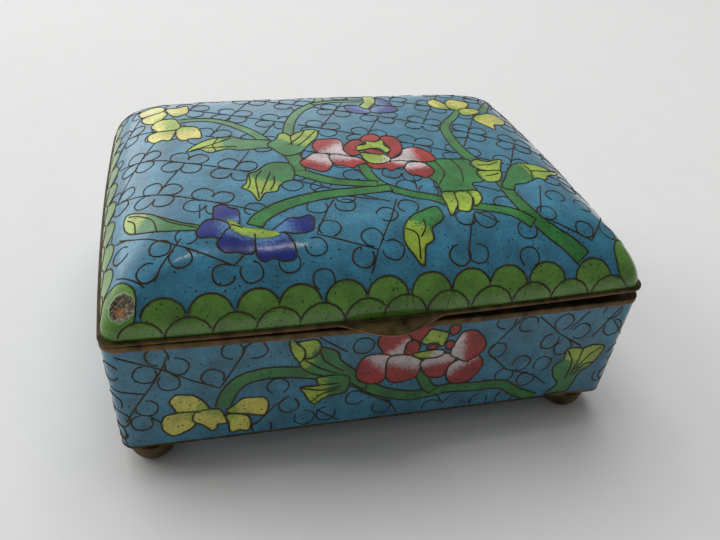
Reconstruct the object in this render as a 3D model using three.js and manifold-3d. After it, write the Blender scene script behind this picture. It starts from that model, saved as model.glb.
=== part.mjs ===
// A Chinese cloisonne enamel box: a shallow rectangular copper box on four bun feet, with a pillow-domed
// lid that lifts off. Millimetres, +Z up, +X to the right and -Y to the front. The origin is on the surface
// that the box stands on, under the middle of its bounding box.
import * as THREE from 'three';
import * as BufferGeometryUtils from 'three/addons/utils/BufferGeometryUtils.js';
import Module from 'manifold-3d';

// Driving dimensions
const LID_WIDTH = 114.6; // over the lid rim, left to right
const LID_DEPTH = 92; // over the lid rim, front to back
const SIDE_BOW = 1.1; // how far the middle of each side swells out in plan at the rims
const RIM_CORNER_RADIUS = 3.3;
const WALL = 1.8; // copper sheet with enamel on both faces
const FLOOR = 1.6;

const FOOT_HEIGHT = 5.6;
const FOOT_RADIUS = 5.2;
const FOOT_PAD_RADIUS = 2.3; // the small flat that each foot stands on
const FOOT_INSET_LEFT = 6; // foot centres from the foot of each wall; the right pair sits further in
const FOOT_INSET_RIGHT = 8;
const FOOT_INSET_FRONT = 4.7;

const BODY_HEIGHT = 28.3; // underside of the box to the seat of the lid
const BODY_SET_BACK = 0.25; // how far the lid rim oversails the wall below it
const BODY_TAPER_SIDE = 1.2; // left and right walls lean in by this much at the bottom
const EDGE_BAND_HEIGHT = 0.6; // bare metal edge round the underside
const EDGE_BAND_DEPTH = 1.2;
const EDGE_BAND_PROUD = 0.12;

const SEAT_BAND_HEIGHT = 1.5; // metal band on top of the walls, which the lid sits on
const SEAT_BAND_PROUD = 0.15;
const FLANGE_HEIGHT = 2.4; // upstand that keeps the lid in place
const FLANGE_OUTER_INSET = 3.5;
const FLANGE_INNER_INSET = 4.2;

const LID_BAND_HEIGHT = 0.8;
const LID_BAND_DEPTH = 2.2;
const LID_SHELL_INSET = 0.7; // the enamel starts this far inside the lid's metal band
const LID_WALL = 1.6;
const SHOULDER_WIDTH = 15; // the steep border of the dome, measured in plan
const SHOULDER_HEIGHT = 11.5;
const SHOULDER_POWER = 1.85; // 2 is an ellipse, less is slacker
const CROWN_HEIGHT = 3.7; // the gentle swell inside the shoulder
const CORNER_SOFTENING = 0.5; // corner radius gained for each millimetre inwards

const LID_TILT_DEG = 1.05; // the lid sits a little proud at its right end
const CONTACT_GAP = 0.03; // between two pieces where a shared curved face would make them cut each other

const TAB_WIDTH = 22.5;
const TAB_REACH = 4.6;
const TAB_THICKNESS = 0.7;
const TAB_OFF_CENTRE = -1.2; // the thumb tab sits a little left of the middle
const TAB_SEGMENTS = 20;

// Enamel lost from the lid's front left corner, almost down to the copper: the scoop that cuts it
const CHIP_RADIUS = 4.4;
const CHIP_CENTRE = new THREE.Vector3(-53.3, -44.7, 8.9);

// Plan contours
const CORNER_SEGMENTS = 5;
const SIDE_SEGMENTS = 8;
const CROWN_RINGS = 4;
const SHOULDER_RINGS = 7;

const SEAT_Z = FOOT_HEIGHT + BODY_HEIGHT;
const HALF_WIDTH = LID_WIDTH / 2;
const HALF_DEPTH = LID_DEPTH / 2;

/** One closed plan contour at a height: a rounded rectangle, counter-clockwise, whose sides bow outwards. */
function contour({ halfX, halfY, radius, bow }, z) {
  const r = Math.min(radius, halfX - 0.01, halfY - 0.01);
  const points = [];
  for (let corner = 0; corner < 4; corner++) {
    const start = (corner * Math.PI) / 2;
    const centre = cornerCentre(corner, halfX - r, halfY - r);
    for (let i = 0; i <= CORNER_SEGMENTS; i++) {
      const angle = start + ((Math.PI / 2) * i) / CORNER_SEGMENTS;
      points.push(new THREE.Vector3(centre.x + r * Math.cos(angle), centre.y + r * Math.sin(angle), z));
    }
    const outward = new THREE.Vector3(Math.cos(start + Math.PI / 2), Math.sin(start + Math.PI / 2), 0);
    const next = cornerCentre(corner + 1, halfX - r, halfY - r);
    const from = points[points.length - 1];
    const to = new THREE.Vector3(next.x, next.y, z).addScaledVector(outward, r);
    for (let i = 1; i < SIDE_SEGMENTS; i++) {
      const t = i / SIDE_SEGMENTS;
      const swell = 4 * bow * t * (1 - t);
      points.push(from.clone().lerp(to, t).addScaledVector(outward, swell));
    }
  }
  return points;
}

/** Centre of the quarter circle at one corner, counted counter-clockwise from +X +Y. */
function cornerCentre(corner, x, y) {
  const signs = [[1, 1], [-1, 1], [-1, -1], [1, -1]][corner % 4];
  return new THREE.Vector2(signs[0] * x, signs[1] * y);
}

/** A solid skinned over rings of equal point counts, listed up the outside; the ends are capped or joined. */
function loft(rings, joined = false) {
  const count = rings[0].length;
  const points = rings.flat();
  const index = [];
  const spans = joined ? rings.length : rings.length - 1;
  for (let ring = 0; ring < spans; ring++) {
    const low = ring * count;
    const high = ((ring + 1) % rings.length) * count;
    for (let i = 0; i < count; i++) {
      const j = (i + 1) % count;
      index.push(low + i, low + j, high + j, low + i, high + j, high + i);
    }
  }
  if (!joined) {
    capRing(points, index, rings[0], 0, true);
    capRing(points, index, rings[rings.length - 1], (rings.length - 1) * count, false);
  }
  const geometry = new THREE.BufferGeometry().setFromPoints(points);
  geometry.setIndex(index);
  geometry.computeVertexNormals();
  return geometry;
}

/** Closes one end ring with a fan round its middle point. */
function capRing(points, index, ring, first, facesDown) {
  const middle = new THREE.Vector3();
  ring.forEach((point) => middle.addScaledVector(point, 1 / ring.length));
  const hub = points.push(middle) - 1;
  for (let i = 0; i < ring.length; i++) {
    const a = first + i;
    const b = first + ((i + 1) % ring.length);
    index.push(...(facesDown ? [hub, b, a] : [hub, a, b]));
  }
}

/** The lid rim's plan, moved inwards by a distance, which every band and the lid's shell follow. */
function rimPlan(inset, cornerRadius = Math.max(RIM_CORNER_RADIUS - inset, 0.8)) {
  return { halfX: HALF_WIDTH - inset, halfY: HALF_DEPTH - inset, radius: cornerRadius, bow: SIDE_BOW };
}

/** A metal band: its section is a list of [inset from the lid rim's plan, height]. */
function band(section, bow = SIDE_BOW) {
  return loft(section.map(([inset, z]) => contour({ ...rimPlan(inset), bow }, z)), true);
}

/** The body's outer plan at a height above its underside: the bow and the lean fade towards the bottom. */
function bodyPlan(height, inset) {
  const rise = height / BODY_HEIGHT;
  const plan = rimPlan(BODY_SET_BACK + inset);
  plan.halfX -= BODY_TAPER_SIDE * (1 - rise);
  plan.bow = SIDE_BOW * rise;
  return plan;
}

/** The open box: floor and four walls with enamel on both faces, rebated for the bands above and below. */
function bodyShell() {
  const wallTop = BODY_HEIGHT - SEAT_BAND_HEIGHT;
  const rings = [
    [0, EDGE_BAND_DEPTH],
    [EDGE_BAND_HEIGHT, EDGE_BAND_DEPTH],
    [EDGE_BAND_HEIGHT, 0],
    [wallTop / 2, 0],
    [wallTop, 0],
    [wallTop, WALL],
    [wallTop / 2, WALL],
    [FLOOR, WALL],
  ];
  return loft(rings.map(([height, inset]) => contour(bodyPlan(height, inset), FOOT_HEIGHT + height)));
}

/** The bare metal edge that runs round the underside of the box. */
function edgeBand() {
  const section = [
    [0, -EDGE_BAND_PROUD],
    [EDGE_BAND_HEIGHT, -EDGE_BAND_PROUD],
    [EDGE_BAND_HEIGHT, EDGE_BAND_DEPTH - CONTACT_GAP],
    [0, EDGE_BAND_DEPTH - CONTACT_GAP],
  ];
  return loft(section.map(([height, inset]) => contour(bodyPlan(height, inset), FOOT_HEIGHT + height)), true);
}

/** The seat band: it caps the walls and carries the upstand that locates the lid. */
function seatBand() {
  const outer = BODY_SET_BACK - SEAT_BAND_PROUD;
  return band([
    [outer, SEAT_Z - SEAT_BAND_HEIGHT],
    [outer, SEAT_Z],
    [FLANGE_OUTER_INSET, SEAT_Z],
    [FLANGE_OUTER_INSET, SEAT_Z + FLANGE_HEIGHT],
    [FLANGE_INNER_INSET, SEAT_Z + FLANGE_HEIGHT],
    [FLANGE_INNER_INSET, SEAT_Z - SEAT_BAND_HEIGHT],
  ]);
}

/** A bun foot, turned about its own axis, standing on a small flat. */
function bunFoot() {
  const profile = [new THREE.Vector2(0, 0), new THREE.Vector2(FOOT_PAD_RADIUS, 0)];
  const curve = new THREE.EllipseCurve(
    FOOT_PAD_RADIUS, FOOT_HEIGHT, FOOT_RADIUS - FOOT_PAD_RADIUS, FOOT_HEIGHT, -Math.PI / 2, 0,
  );
  profile.push(...curve.getPoints(5).slice(1));
  profile.push(new THREE.Vector2(0, FOOT_HEIGHT));
  return new THREE.LatheGeometry(profile, 24).rotateX(Math.PI / 2);
}

/** Height of the lid's outer surface over its metal band, at a distance in from its edge. */
function domeHeight(inset) {
  const across = Math.min(inset / SHOULDER_WIDTH, 1);
  const shoulder = SHOULDER_HEIGHT * (1 - (1 - across) ** SHOULDER_POWER) ** (1 / SHOULDER_POWER);
  const reach = HALF_DEPTH - LID_SHELL_INSET;
  return shoulder + CROWN_HEIGHT * (1 - (1 - inset / reach) ** 2);
}

/** One contour of the dome; under is how far it lies below the outer surface, square to it. */
function domeRing(inset, under = 0) {
  const step = 0.02;
  const low = Math.max(inset - step, 0);
  const slope = Math.atan2(domeHeight(inset + step) - domeHeight(low), inset + step - low);
  const atEdge = inset === 0;
  const inwards = atEdge ? under : under * Math.sin(slope);
  const sunk = atEdge ? 0 : under * Math.cos(slope);
  const reach = inset + inwards + LID_SHELL_INSET;
  const plan = rimPlan(reach, RIM_CORNER_RADIUS + CORNER_SOFTENING * inset - inwards);
  plan.bow = SIDE_BOW * (1 - reach / HALF_DEPTH);
  return contour(plan, LID_BAND_HEIGHT + domeHeight(inset) - sunk);
}

/** The domed lid with a wall of even thickness, open below. */
function lidShell() {
  const insets = [];
  for (let i = 0; i <= SHOULDER_RINGS; i++) {
    insets.push(SHOULDER_WIDTH * (i / SHOULDER_RINGS) ** 2);
  }
  const crownReach = HALF_DEPTH - LID_SHELL_INSET - LID_WALL - 1 - SHOULDER_WIDTH;
  for (let i = 1; i <= CROWN_RINGS; i++) {
    insets.push(SHOULDER_WIDTH + (crownReach * i) / CROWN_RINGS);
  }
  const outer = insets.map((inset) => domeRing(inset));
  const inner = insets.map((inset) => domeRing(inset, LID_WALL)).reverse();
  return loft([...inner, ...outer]);
}

/** The flat crescent that the thumb lifts, cut to the front of the lid's band. */
function thumbTab() {
  const front = (x) => -HALF_DEPTH - SIDE_BOW * (1 - (x / (HALF_WIDTH - RIM_CORNER_RADIUS)) ** 2) - CONTACT_GAP;
  const outline = new THREE.Shape();
  for (let i = 0; i <= TAB_SEGMENTS; i++) {
    const angle = Math.PI * (i / TAB_SEGMENTS);
    const x = TAB_OFF_CENTRE - (TAB_WIDTH / 2) * Math.cos(angle);
    const y = front(x) - TAB_REACH * Math.sin(angle) ** 1.3;
    if (i === 0) {
      outline.moveTo(x, y);
    } else {
      outline.lineTo(x, y);
    }
  }
  for (let i = TAB_SEGMENTS - 1; i > 0; i--) {
    const x = TAB_OFF_CENTRE - (TAB_WIDTH / 2) * Math.cos(Math.PI * (i / TAB_SEGMENTS));
    outline.lineTo(x, front(x));
  }
  return new THREE.ExtrudeGeometry(outline, { depth: TAB_THICKNESS, bevelEnabled: false });
}

const wasm = await Module();
wasm.setup();

/** A closed geometry as a manifold solid. */
function asSolid(geometry) {
  const bare = geometry.clone();
  bare.deleteAttribute('normal');
  bare.deleteAttribute('uv');
  const merged = BufferGeometryUtils.mergeVertices(bare);
  return new wasm.Manifold(
    new wasm.Mesh({
      numProp: 3,
      vertProperties: new Float32Array(merged.attributes.position.array),
      triVerts: new Uint32Array(merged.index.array),
    }),
  );
}

/** A manifold solid as a geometry. */
function asGeometry(solid) {
  const mesh = solid.getMesh();
  const geometry = new THREE.BufferGeometry();
  geometry.setAttribute('position', new THREE.BufferAttribute(mesh.vertProperties, 3));
  geometry.setIndex(new THREE.BufferAttribute(mesh.triVerts, 1));
  geometry.computeVertexNormals();
  return geometry;
}

/** The lid's shell with the chipped corner scooped out of its outer face. */
function chippedLidShell() {
  const scoop = new THREE.SphereGeometry(CHIP_RADIUS, 20, 14);
  scoop.translate(CHIP_CENTRE.x, CHIP_CENTRE.y, CHIP_CENTRE.z);
  return asGeometry(asSolid(lidShell()).subtract(asSolid(scoop)));
}

const enamel = new THREE.MeshStandardMaterial({ color: 0x3f7f9e, roughness: 0.3, metalness: 0 });
const bronze = new THREE.MeshStandardMaterial({ color: 0x5a4a2c, roughness: 0.45, metalness: 0.9 });

/** A named mesh in a group, at a place. */
function addPiece(group, name, geometry, material, place = [0, 0, 0]) {
  const mesh = new THREE.Mesh(geometry, material);
  mesh.name = name;
  mesh.position.set(...place);
  group.add(mesh);
}

const box = new THREE.Group();
addPiece(box, 'box_body', bodyShell(), enamel);
addPiece(box, 'bottom_edge_band', edgeBand(), bronze);
addPiece(box, 'seat_band', seatBand(), bronze);

const wallFootX = HALF_WIDTH - BODY_SET_BACK - BODY_TAPER_SIDE;
const footY = HALF_DEPTH - BODY_SET_BACK - FOOT_INSET_FRONT;
for (const [end, y] of [['front', -footY], ['back', footY]]) {
  for (const [side, x] of [['left', FOOT_INSET_LEFT - wallFootX], ['right', wallFootX - FOOT_INSET_RIGHT]]) {
    addPiece(box, `foot_${end}_${side}`, bunFoot(), bronze, [x, y, 0]);
  }
}

// The lid turns a little about the foot of its left side, so it closes at the left and gapes at the right.
const lid = new THREE.Group();
lid.position.set(-HALF_WIDTH, 0, SEAT_Z + CONTACT_GAP);
lid.rotation.y = -THREE.MathUtils.degToRad(LID_TILT_DEG);
box.add(lid);

const lidBand = band([
  [0, 0],
  [0, LID_BAND_HEIGHT - CONTACT_GAP],
  [LID_BAND_DEPTH, LID_BAND_HEIGHT - CONTACT_GAP],
  [LID_BAND_DEPTH, 0],
]);
const tabHeight = (LID_BAND_HEIGHT - TAB_THICKNESS) / 2;
addPiece(lid, 'lid_shell', chippedLidShell(), enamel, [HALF_WIDTH, 0, 0]);
addPiece(lid, 'lid_band', lidBand, bronze, [HALF_WIDTH, 0, 0]);
addPiece(lid, 'thumb_tab', thumbTab(), bronze, [HALF_WIDTH, 0, tabHeight]);

const bounds = new THREE.Box3().setFromObject(box);
box.position.set(-(bounds.min.x + bounds.max.x) / 2, -(bounds.min.y + bounds.max.y) / 2, 0);

export default box;
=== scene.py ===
"""Cloisonne enamel box on four bun feet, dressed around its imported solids.

A domed lid of enamelled copper sits a little askew on an enamelled tray. Soldered copper wires
part the enamel into flowers, vines, a scale border and a trailing ground of loops and lines.
Sizes in this script are millimetres until a mesh is made; meshes are in metres, in the row frame.
"""

from __future__ import annotations

import logging
import math
from collections.abc import Sequence
from dataclasses import dataclass, field
from enum import Enum

import bmesh
import bpy
import numpy as np
from mathutils import Matrix, Vector
from mathutils.geometry import delaunay_2d_cdt


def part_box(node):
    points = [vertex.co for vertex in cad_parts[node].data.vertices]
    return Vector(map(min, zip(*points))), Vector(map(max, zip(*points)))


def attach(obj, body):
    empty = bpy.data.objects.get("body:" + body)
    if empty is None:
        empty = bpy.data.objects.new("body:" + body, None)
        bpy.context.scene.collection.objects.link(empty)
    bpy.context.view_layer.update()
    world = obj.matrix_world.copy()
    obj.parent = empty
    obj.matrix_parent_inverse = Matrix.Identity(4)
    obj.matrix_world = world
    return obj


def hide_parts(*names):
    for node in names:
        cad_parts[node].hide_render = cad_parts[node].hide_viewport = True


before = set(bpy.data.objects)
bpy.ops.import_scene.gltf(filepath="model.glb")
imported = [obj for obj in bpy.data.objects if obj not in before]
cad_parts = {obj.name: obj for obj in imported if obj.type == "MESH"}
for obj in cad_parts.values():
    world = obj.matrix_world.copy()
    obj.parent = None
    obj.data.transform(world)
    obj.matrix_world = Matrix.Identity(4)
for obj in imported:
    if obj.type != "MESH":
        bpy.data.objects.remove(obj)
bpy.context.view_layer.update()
LOG = logging.getLogger("enamel_box")

MM = 0.001
RIM_CORNER = 3.3  # mm, the radius of the rim's corners
Point = tuple[float, float]
Colour = tuple[float, float, float, float]


def node_box(name: str) -> tuple[np.ndarray, np.ndarray]:
    """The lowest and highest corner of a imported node, in millimetres.

    Args:
        name: the node's name.

    Returns:
        The two corners as arrays of three numbers.
    """
    low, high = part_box(name)
    return np.array(low) / MM, np.array(high) / MM


# ---------------------------------------------------------------- colours and finishes


class Glaze(Enum):
    """The enamel colours, as fired, in sRGB hex."""

    SKY = "#357690"
    SCALE = "#5A8736"
    LEAF = "#33773A"
    LIME = "#93AE3A"
    YELLOW = "#C9C25A"
    RED = "#9C2A26"
    WHITE = "#CDBFC1"
    COBALT = "#142577"
    PALE_BLUE = "#5583B2"


def linear(colour: str) -> Colour:
    """An sRGB hex colour as linear RGBA.

    Args:
        colour: the colour, such as "#3F86A3".

    Returns:
        Red, green, blue and an alpha of 1.
    """
    levels = [int(colour[i : i + 2], 16) / 255 for i in (1, 3, 5)]
    red, green, blue = [c / 12.92 if c <= 0.04045 else ((c + 0.055) / 1.055) ** 2.4 for c in levels]
    return red, green, blue, 1.0


def add_node(tree: bpy.types.NodeTree, kind: str, settings: dict | None = None, inputs: dict | None = None,
        stops: Sequence[tuple[float, Colour]] = ()) -> bpy.types.Node:
    """Adds one node with its settings and links.

    Args:
        tree: the shader or geometry tree.
        kind: the node's type name.
        settings: the node's properties by name.
        inputs: sockets by name or index, each a value or an output socket to link from.
        stops: a colour ramp's stops, each a position and a linear colour.

    Returns:
        The new node.
    """
    node = tree.nodes.new(kind)
    for name, value in (settings or {}).items():
        setattr(node, name, value)
    for key, value in (inputs or {}).items():
        if isinstance(value, bpy.types.NodeSocket):
            tree.links.new(value, node.inputs[key])
        else:
            node.inputs[key].default_value = value
    for index, (position, colour) in enumerate(stops):
        ramp = node.color_ramp.elements
        stop = ramp[index] if index < len(ramp) else ramp.new(position)
        stop.position = position
        stop.color = colour
    return node


def new_material(name: str) -> tuple[bpy.types.Material, bpy.types.NodeTree, bpy.types.Node]:
    """An empty node material with its output.

    Args:
        name: the material's name.

    Returns:
        The material, its tree and its output node.
    """
    material = bpy.data.materials.new(name)
    material.use_nodes = True
    material.node_tree.nodes.clear()
    return material, material.node_tree, add_node(material.node_tree, "ShaderNodeOutputMaterial")


def grey(level: float) -> Colour:
    """A neutral linear colour of that level."""
    return level, level, level, 1.0


RAMP, MIX, MATH, NOISE = "ShaderNodeValToRGB", "ShaderNodeMix", "ShaderNodeMath", "ShaderNodeTexNoise"
RANGE, ATTRIBUTE, PRINCIPLED = "ShaderNodeMapRange", "ShaderNodeAttribute", "ShaderNodeBsdfPrincipled"
BLEND = {"data_type": "RGBA"}
TINT = {"data_type": "RGBA", "blend_type": "MULTIPLY"}
SMOOTH = {"interpolation_type": "SMOOTHSTEP"}


@dataclass(frozen=True)
class FiredEnamel:
    """Vitreous enamel, ground flat with its wires and polished: a deep, wet gloss over a slightly
    cloudy colour, with pin holes where gas broke the surface."""

    name: str = "fired_enamel"
    roughness: float = 0.17
    grain: float = 0.55  # mm, the ground glass grains that show where two colours meet
    cloud: float = 5.0  # mm, the drift of tone within one colour
    pin_hole: float = 0.9  # mm between pin holes
    brink: float = 0.6  # how dark the glass runs where it thins against a wire
    wave: float = 7.0  # mm, the hand-polished unevenness that bends reflections

    def build(self) -> bpy.types.Material:
        """The material, which reads the colours and shares that the mesh carries."""
        material, tree, output = new_material(self.name)
        place = add_node(tree, "ShaderNodeTexCoord").outputs["Object"]
        near, far, fade, bare, copper, brink = [add_node(tree, ATTRIBUTE, {"attribute_name": name})
            for name in ("near", "far", "fade", "bare", "copper", "brink")]
        grains = add_node(tree, NOISE,
            inputs={"Vector": place, "Scale": 1 / (self.grain * MM), "Detail": 3.0})
        shift = add_node(tree, RANGE,
            inputs={"Value": grains.outputs[0], 1: 0.3, 2: 0.7, 3: -0.25, 4: 0.25})
        met = add_node(tree, MATH, {"operation": "ADD"}, {0: fade.outputs["Fac"], 1: shift.outputs[0]})
        edge = add_node(tree, RANGE, SMOOTH, {"Value": met.outputs[0], 1: 0.15, 2: 0.85})
        colour = add_node(tree, MIX, BLEND,
            {"Factor": edge.outputs[0], 6: near.outputs["Color"], 7: far.outputs["Color"]})
        clouds = add_node(tree, NOISE,
            inputs={"Vector": place, "Scale": 1 / (self.cloud * MM), "Detail": 5.0})
        tone = add_node(tree, RAMP, inputs={"Fac": clouds.outputs[0]},
            stops=((0.3, grey(0.66)), (0.7, grey(1.2))))
        toned = add_node(tree, MIX, TINT, {"Factor": 1.0, 6: colour.outputs[2], 7: tone.outputs["Color"]})
        speckle = add_node(tree, RAMP, inputs={"Fac": grains.outputs[0]},
            stops=((0.36, grey(0.72)), (0.5, grey(1.0)), (0.72, grey(1.12))))
        grained = add_node(tree, MIX, TINT,
            {"Factor": 0.7, 6: toned.outputs[2], 7: speckle.outputs["Color"]})
        thin = add_node(tree, RANGE, SMOOTH, {"Value": brink.outputs["Fac"], 1: 0.2, 2: 1.0, 4: self.brink})
        stained = add_node(tree, MIX, BLEND,
            {"Factor": thin.outputs[0], 6: grained.outputs[2], 7: linear("#15261C")})
        holes = self.pin_holes(tree, place)
        pitted = add_node(tree, MIX, BLEND, {"Factor": holes, 6: stained.outputs[2], 7: linear("#14201F")})
        stone = add_node(tree, RAMP, inputs={"Fac": grains.outputs[0]},
            stops=((0.3, linear("#2A241B")), (0.5, linear("#6B5F4A")), (0.72, linear("#A39A84"))))
        spot = add_node(tree, MIX, BLEND,
            {"Factor": copper.outputs["Fac"], 6: stone.outputs["Color"], 7: linear("#B5713F")})
        # The pale ring round the chip's broken lip is a painted highlight on the glass edge, mixed into the
        # colour.
        lip = add_node(tree, RAMP, inputs={"Fac": bare.outputs["Fac"]},
            stops=((0.0, grey(0.0)), (0.12, grey(0.75)), (0.3, grey(0.15)), (0.42, grey(0.0))))
        chipped = add_node(tree, RANGE, SMOOTH, {"Value": bare.outputs["Fac"], 1: 0.16, 2: 0.4})
        broken = add_node(tree, MIX, BLEND,
            {"Factor": chipped.outputs[0], 6: pitted.outputs[2], 7: spot.outputs[2]})
        with_lip_highlight = add_node(tree, MIX, BLEND,
            {"Factor": lip.outputs["Color"], 6: broken.outputs[2], 7: linear("#9DAF9A")})
        waves = add_node(tree, NOISE,
            inputs={"Vector": place, "Scale": 1 / (self.wave * MM), "Detail": 2.0})
        relief = add_node(tree, MATH, {"operation": "MULTIPLY_ADD"},
            {0: holes, 1: -0.12, 2: waves.outputs[0]})
        bump = add_node(tree, "ShaderNodeBump",
            inputs={"Height": relief.outputs[0], "Strength": 0.5, "Distance": 0.35 * MM})
        dull = add_node(tree, RANGE, inputs={"Value": chipped.outputs[0], 3: self.roughness, 4: 0.75})
        glass = add_node(tree, PRINCIPLED,
            inputs={"Base Color": with_lip_highlight.outputs[2], "Roughness": dull.outputs[0], "IOR": 1.52,
            "Normal": bump.outputs[0]})
        tree.links.new(glass.outputs[0], output.inputs["Surface"])
        return material

    def pin_holes(self, tree: bpy.types.NodeTree, place: bpy.types.NodeSocket) -> bpy.types.NodeSocket:
        """Small dark pits, of uneven size, where the glass boiled.

        Args:
            tree: the shader tree.
            place: the coordinates they follow.

        Returns:
            A socket that is 1 in a pit.
        """
        scale = 1 / (self.pin_hole * MM)
        cells = add_node(tree, "ShaderNodeTexVoronoi", inputs={"Vector": place, "Scale": scale})
        chance = add_node(tree, "ShaderNodeSeparateColor", inputs={0: cells.outputs["Color"]})
        size = add_node(tree, RANGE, inputs={"Value": chance.outputs[0], 1: 0.3, 2: 1.0, 3: 0.0, 4: 0.26})
        depth = add_node(tree, MATH, {"operation": "SUBTRACT"},
            {0: size.outputs[0], 1: cells.outputs["Distance"]})
        return add_node(tree, RANGE, inputs={"Value": depth.outputs[0], 1: -0.01, 2: 0.03}).outputs[0]


@dataclass(frozen=True)
class AgedMetal:
    """A copper alloy browned by handling: a dark, uneven patina that is rubbed back to bright metal
    where fingers and the other half of the box touch it."""

    name: str
    patina: str
    worn: str
    shadow: str
    roughness: float = 0.42
    blotch: float = 3.0  # mm, patches of thicker and thinner patina
    scratch: float = 0.35  # mm, fine pitting

    def build(self) -> bpy.types.Material:
        """The material, which reads the share of rubbed metal that the mesh carries, and on the tray's foot
        band a painted sheen.
        """
        material, tree, output = new_material(self.name)
        place = add_node(tree, "ShaderNodeTexCoord").outputs["Object"]
        wear = add_node(tree, ATTRIBUTE, {"attribute_name": "wear"})
        patches = add_node(tree, NOISE,
            inputs={"Vector": place, "Scale": 1 / (self.blotch * MM), "Detail": 6.0})
        pits = add_node(tree, NOISE,
            inputs={"Vector": place, "Scale": 1 / (self.scratch * MM), "Detail": 2.0})
        tone = add_node(tree, RAMP, inputs={"Fac": patches.outputs[0]},
            stops=((0.3, linear(self.shadow)), (0.7, linear(self.patina))))
        rubbed = add_node(tree, RANGE, inputs={"Value": patches.outputs[0], 1: 0.3, 2: 0.6, 3: 0.35})
        share = add_node(tree, MATH, {"operation": "MULTIPLY", "use_clamp": True},
            {0: wear.outputs["Fac"], 1: rubbed.outputs[0]})
        colour = add_node(tree, MIX, BLEND,
            {"Factor": share.outputs[0], 6: tone.outputs["Color"], 7: linear(self.worn)})
        rough = add_node(tree, RANGE,
            inputs={"Value": patches.outputs[0], 3: self.roughness - 0.1, 4: self.roughness + 0.2})
        bump = add_node(tree, "ShaderNodeBump",
            inputs={"Height": pits.outputs[0], "Strength": 0.35, "Distance": 0.05 * MM})
        metal = add_node(tree, PRINCIPLED,
            inputs={"Base Color": colour.outputs[2], "Metallic": 0.75, "Roughness": rough.outputs[0],
            "Normal": bump.outputs[0]})
        tree.links.new(metal.outputs[0], output.inputs["Surface"])
        return material


@dataclass(frozen=True)
class MattePaper:
    """Pale seamless backdrop paper: no gloss, and a faint fibre grain."""

    name: str = "backdrop_paper"
    colour: str = "#DDDDDC"
    fibre: float = 11.0  # mm

    def build(self) -> bpy.types.Material:
        """The material."""
        material, tree, output = new_material(self.name)
        place = add_node(tree, "ShaderNodeTexCoord").outputs["Object"]
        fibre = add_node(tree, NOISE,
            inputs={"Vector": place, "Scale": 1 / (self.fibre * MM), "Detail": 4.0})
        tone = add_node(tree, RAMP, inputs={"Fac": fibre.outputs[0]},
            stops=((0.3, linear("#DBDBDA")), (0.7, linear(self.colour))))
        paper = add_node(tree, PRINCIPLED, inputs={"Base Color": tone.outputs["Color"], "Roughness": 0.9})
        tree.links.new(paper.outputs[0], output.inputs["Surface"])
        return material




# ---------------------------------------------------------------- plans and surfaces


@dataclass(frozen=True)
class Plan:
    """A rounded rectangle whose straight sides swell outward in a shallow bow, in millimetres."""

    half_x: float | np.ndarray
    half_y: float | np.ndarray
    radius: float | np.ndarray
    bow: float | np.ndarray

    def at(self, turn: np.ndarray) -> np.ndarray:
        """Points of the outline.

        Args:
            turn: places along it from 0 to 8: even stretches are the sides (front, right, back, left) and
                odd ones the corners between them, anticlockwise from the left end of the front.

        Returns:
            An (n, 2) array.
        """
        turn = np.asarray(turn, float) % 8
        stretch = np.floor(turn).astype(int)
        share = turn - stretch
        side = stretch // 2
        along = np.where(side % 2 == 0, self.half_x, self.half_y) - self.radius
        across = np.where(side % 2 == 0, self.half_y, self.half_x)
        span = 2 * share - 1
        angle = np.radians(90) * share
        straight = stretch % 2 == 0
        a = np.where(straight, span * along, along + self.radius * np.sin(angle))
        b = np.where(straight, across + self.bow * (1 - span**2),
            across - self.radius + self.radius * np.cos(angle))
        quarter = np.radians(90) * side
        # side 0 faces -y: a runs along +x and b outward along -y, then each side is a quarter turn on
        x = a * np.cos(quarter) + b * np.sin(quarter)
        y = a * np.sin(quarter) - b * np.cos(quarter)
        return np.stack([x, y], -1)

    def turn_of(self, points: np.ndarray) -> np.ndarray:
        """Where along the outline these points of it lie, as at() counts."""
        x, y = points[:, 0], points[:, 1]
        best = np.zeros(len(points))
        done = np.zeros(len(points), bool)
        for side in range(4):
            quarter = math.radians(90) * side
            a = x * math.cos(quarter) + y * math.sin(quarter)
            b = x * math.sin(quarter) - y * math.cos(quarter)
            along = (self.half_x if side % 2 == 0 else self.half_y) - self.radius
            across = self.half_y if side % 2 == 0 else self.half_x
            straight = (np.abs(a) <= along + 1e-6) & (b > across - 0.6 * self.radius) & ~done
            best = np.where(straight, 2 * side + (np.clip(a / along, -1, 1) + 1) / 2, best)
            done |= straight
            corner = (a > along) & (b > across - self.radius - 1e-6) & ~done
            angle = np.arctan2(a - along, np.maximum(b - (across - self.radius), 0))
            best = np.where(corner, 2 * side + 1 + np.clip(angle / math.radians(90), 0, 0.999999), best)
            done |= corner
        return best % 8


@dataclass(frozen=True)
class Placement:
    """How a part's own millimetres go into the row frame: tilted about the seat's left end, then moved."""

    origin: tuple[float, float, float]
    tilt: float = 0.0
    pivot_x: float = 0.0

    def matrix(self) -> Matrix:
        """The transform from the part's millimetres to metres in the row frame."""
        pivot = Vector((self.pivot_x, 0.0, 0.0))
        turn = Matrix.Translation(pivot) @ Matrix.Rotation(-self.tilt, 4, "Y") @ Matrix.Translation(-pivot)
        return Matrix.Scale(MM, 4) @ Matrix.Translation(Vector(self.origin)) @ turn


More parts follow.
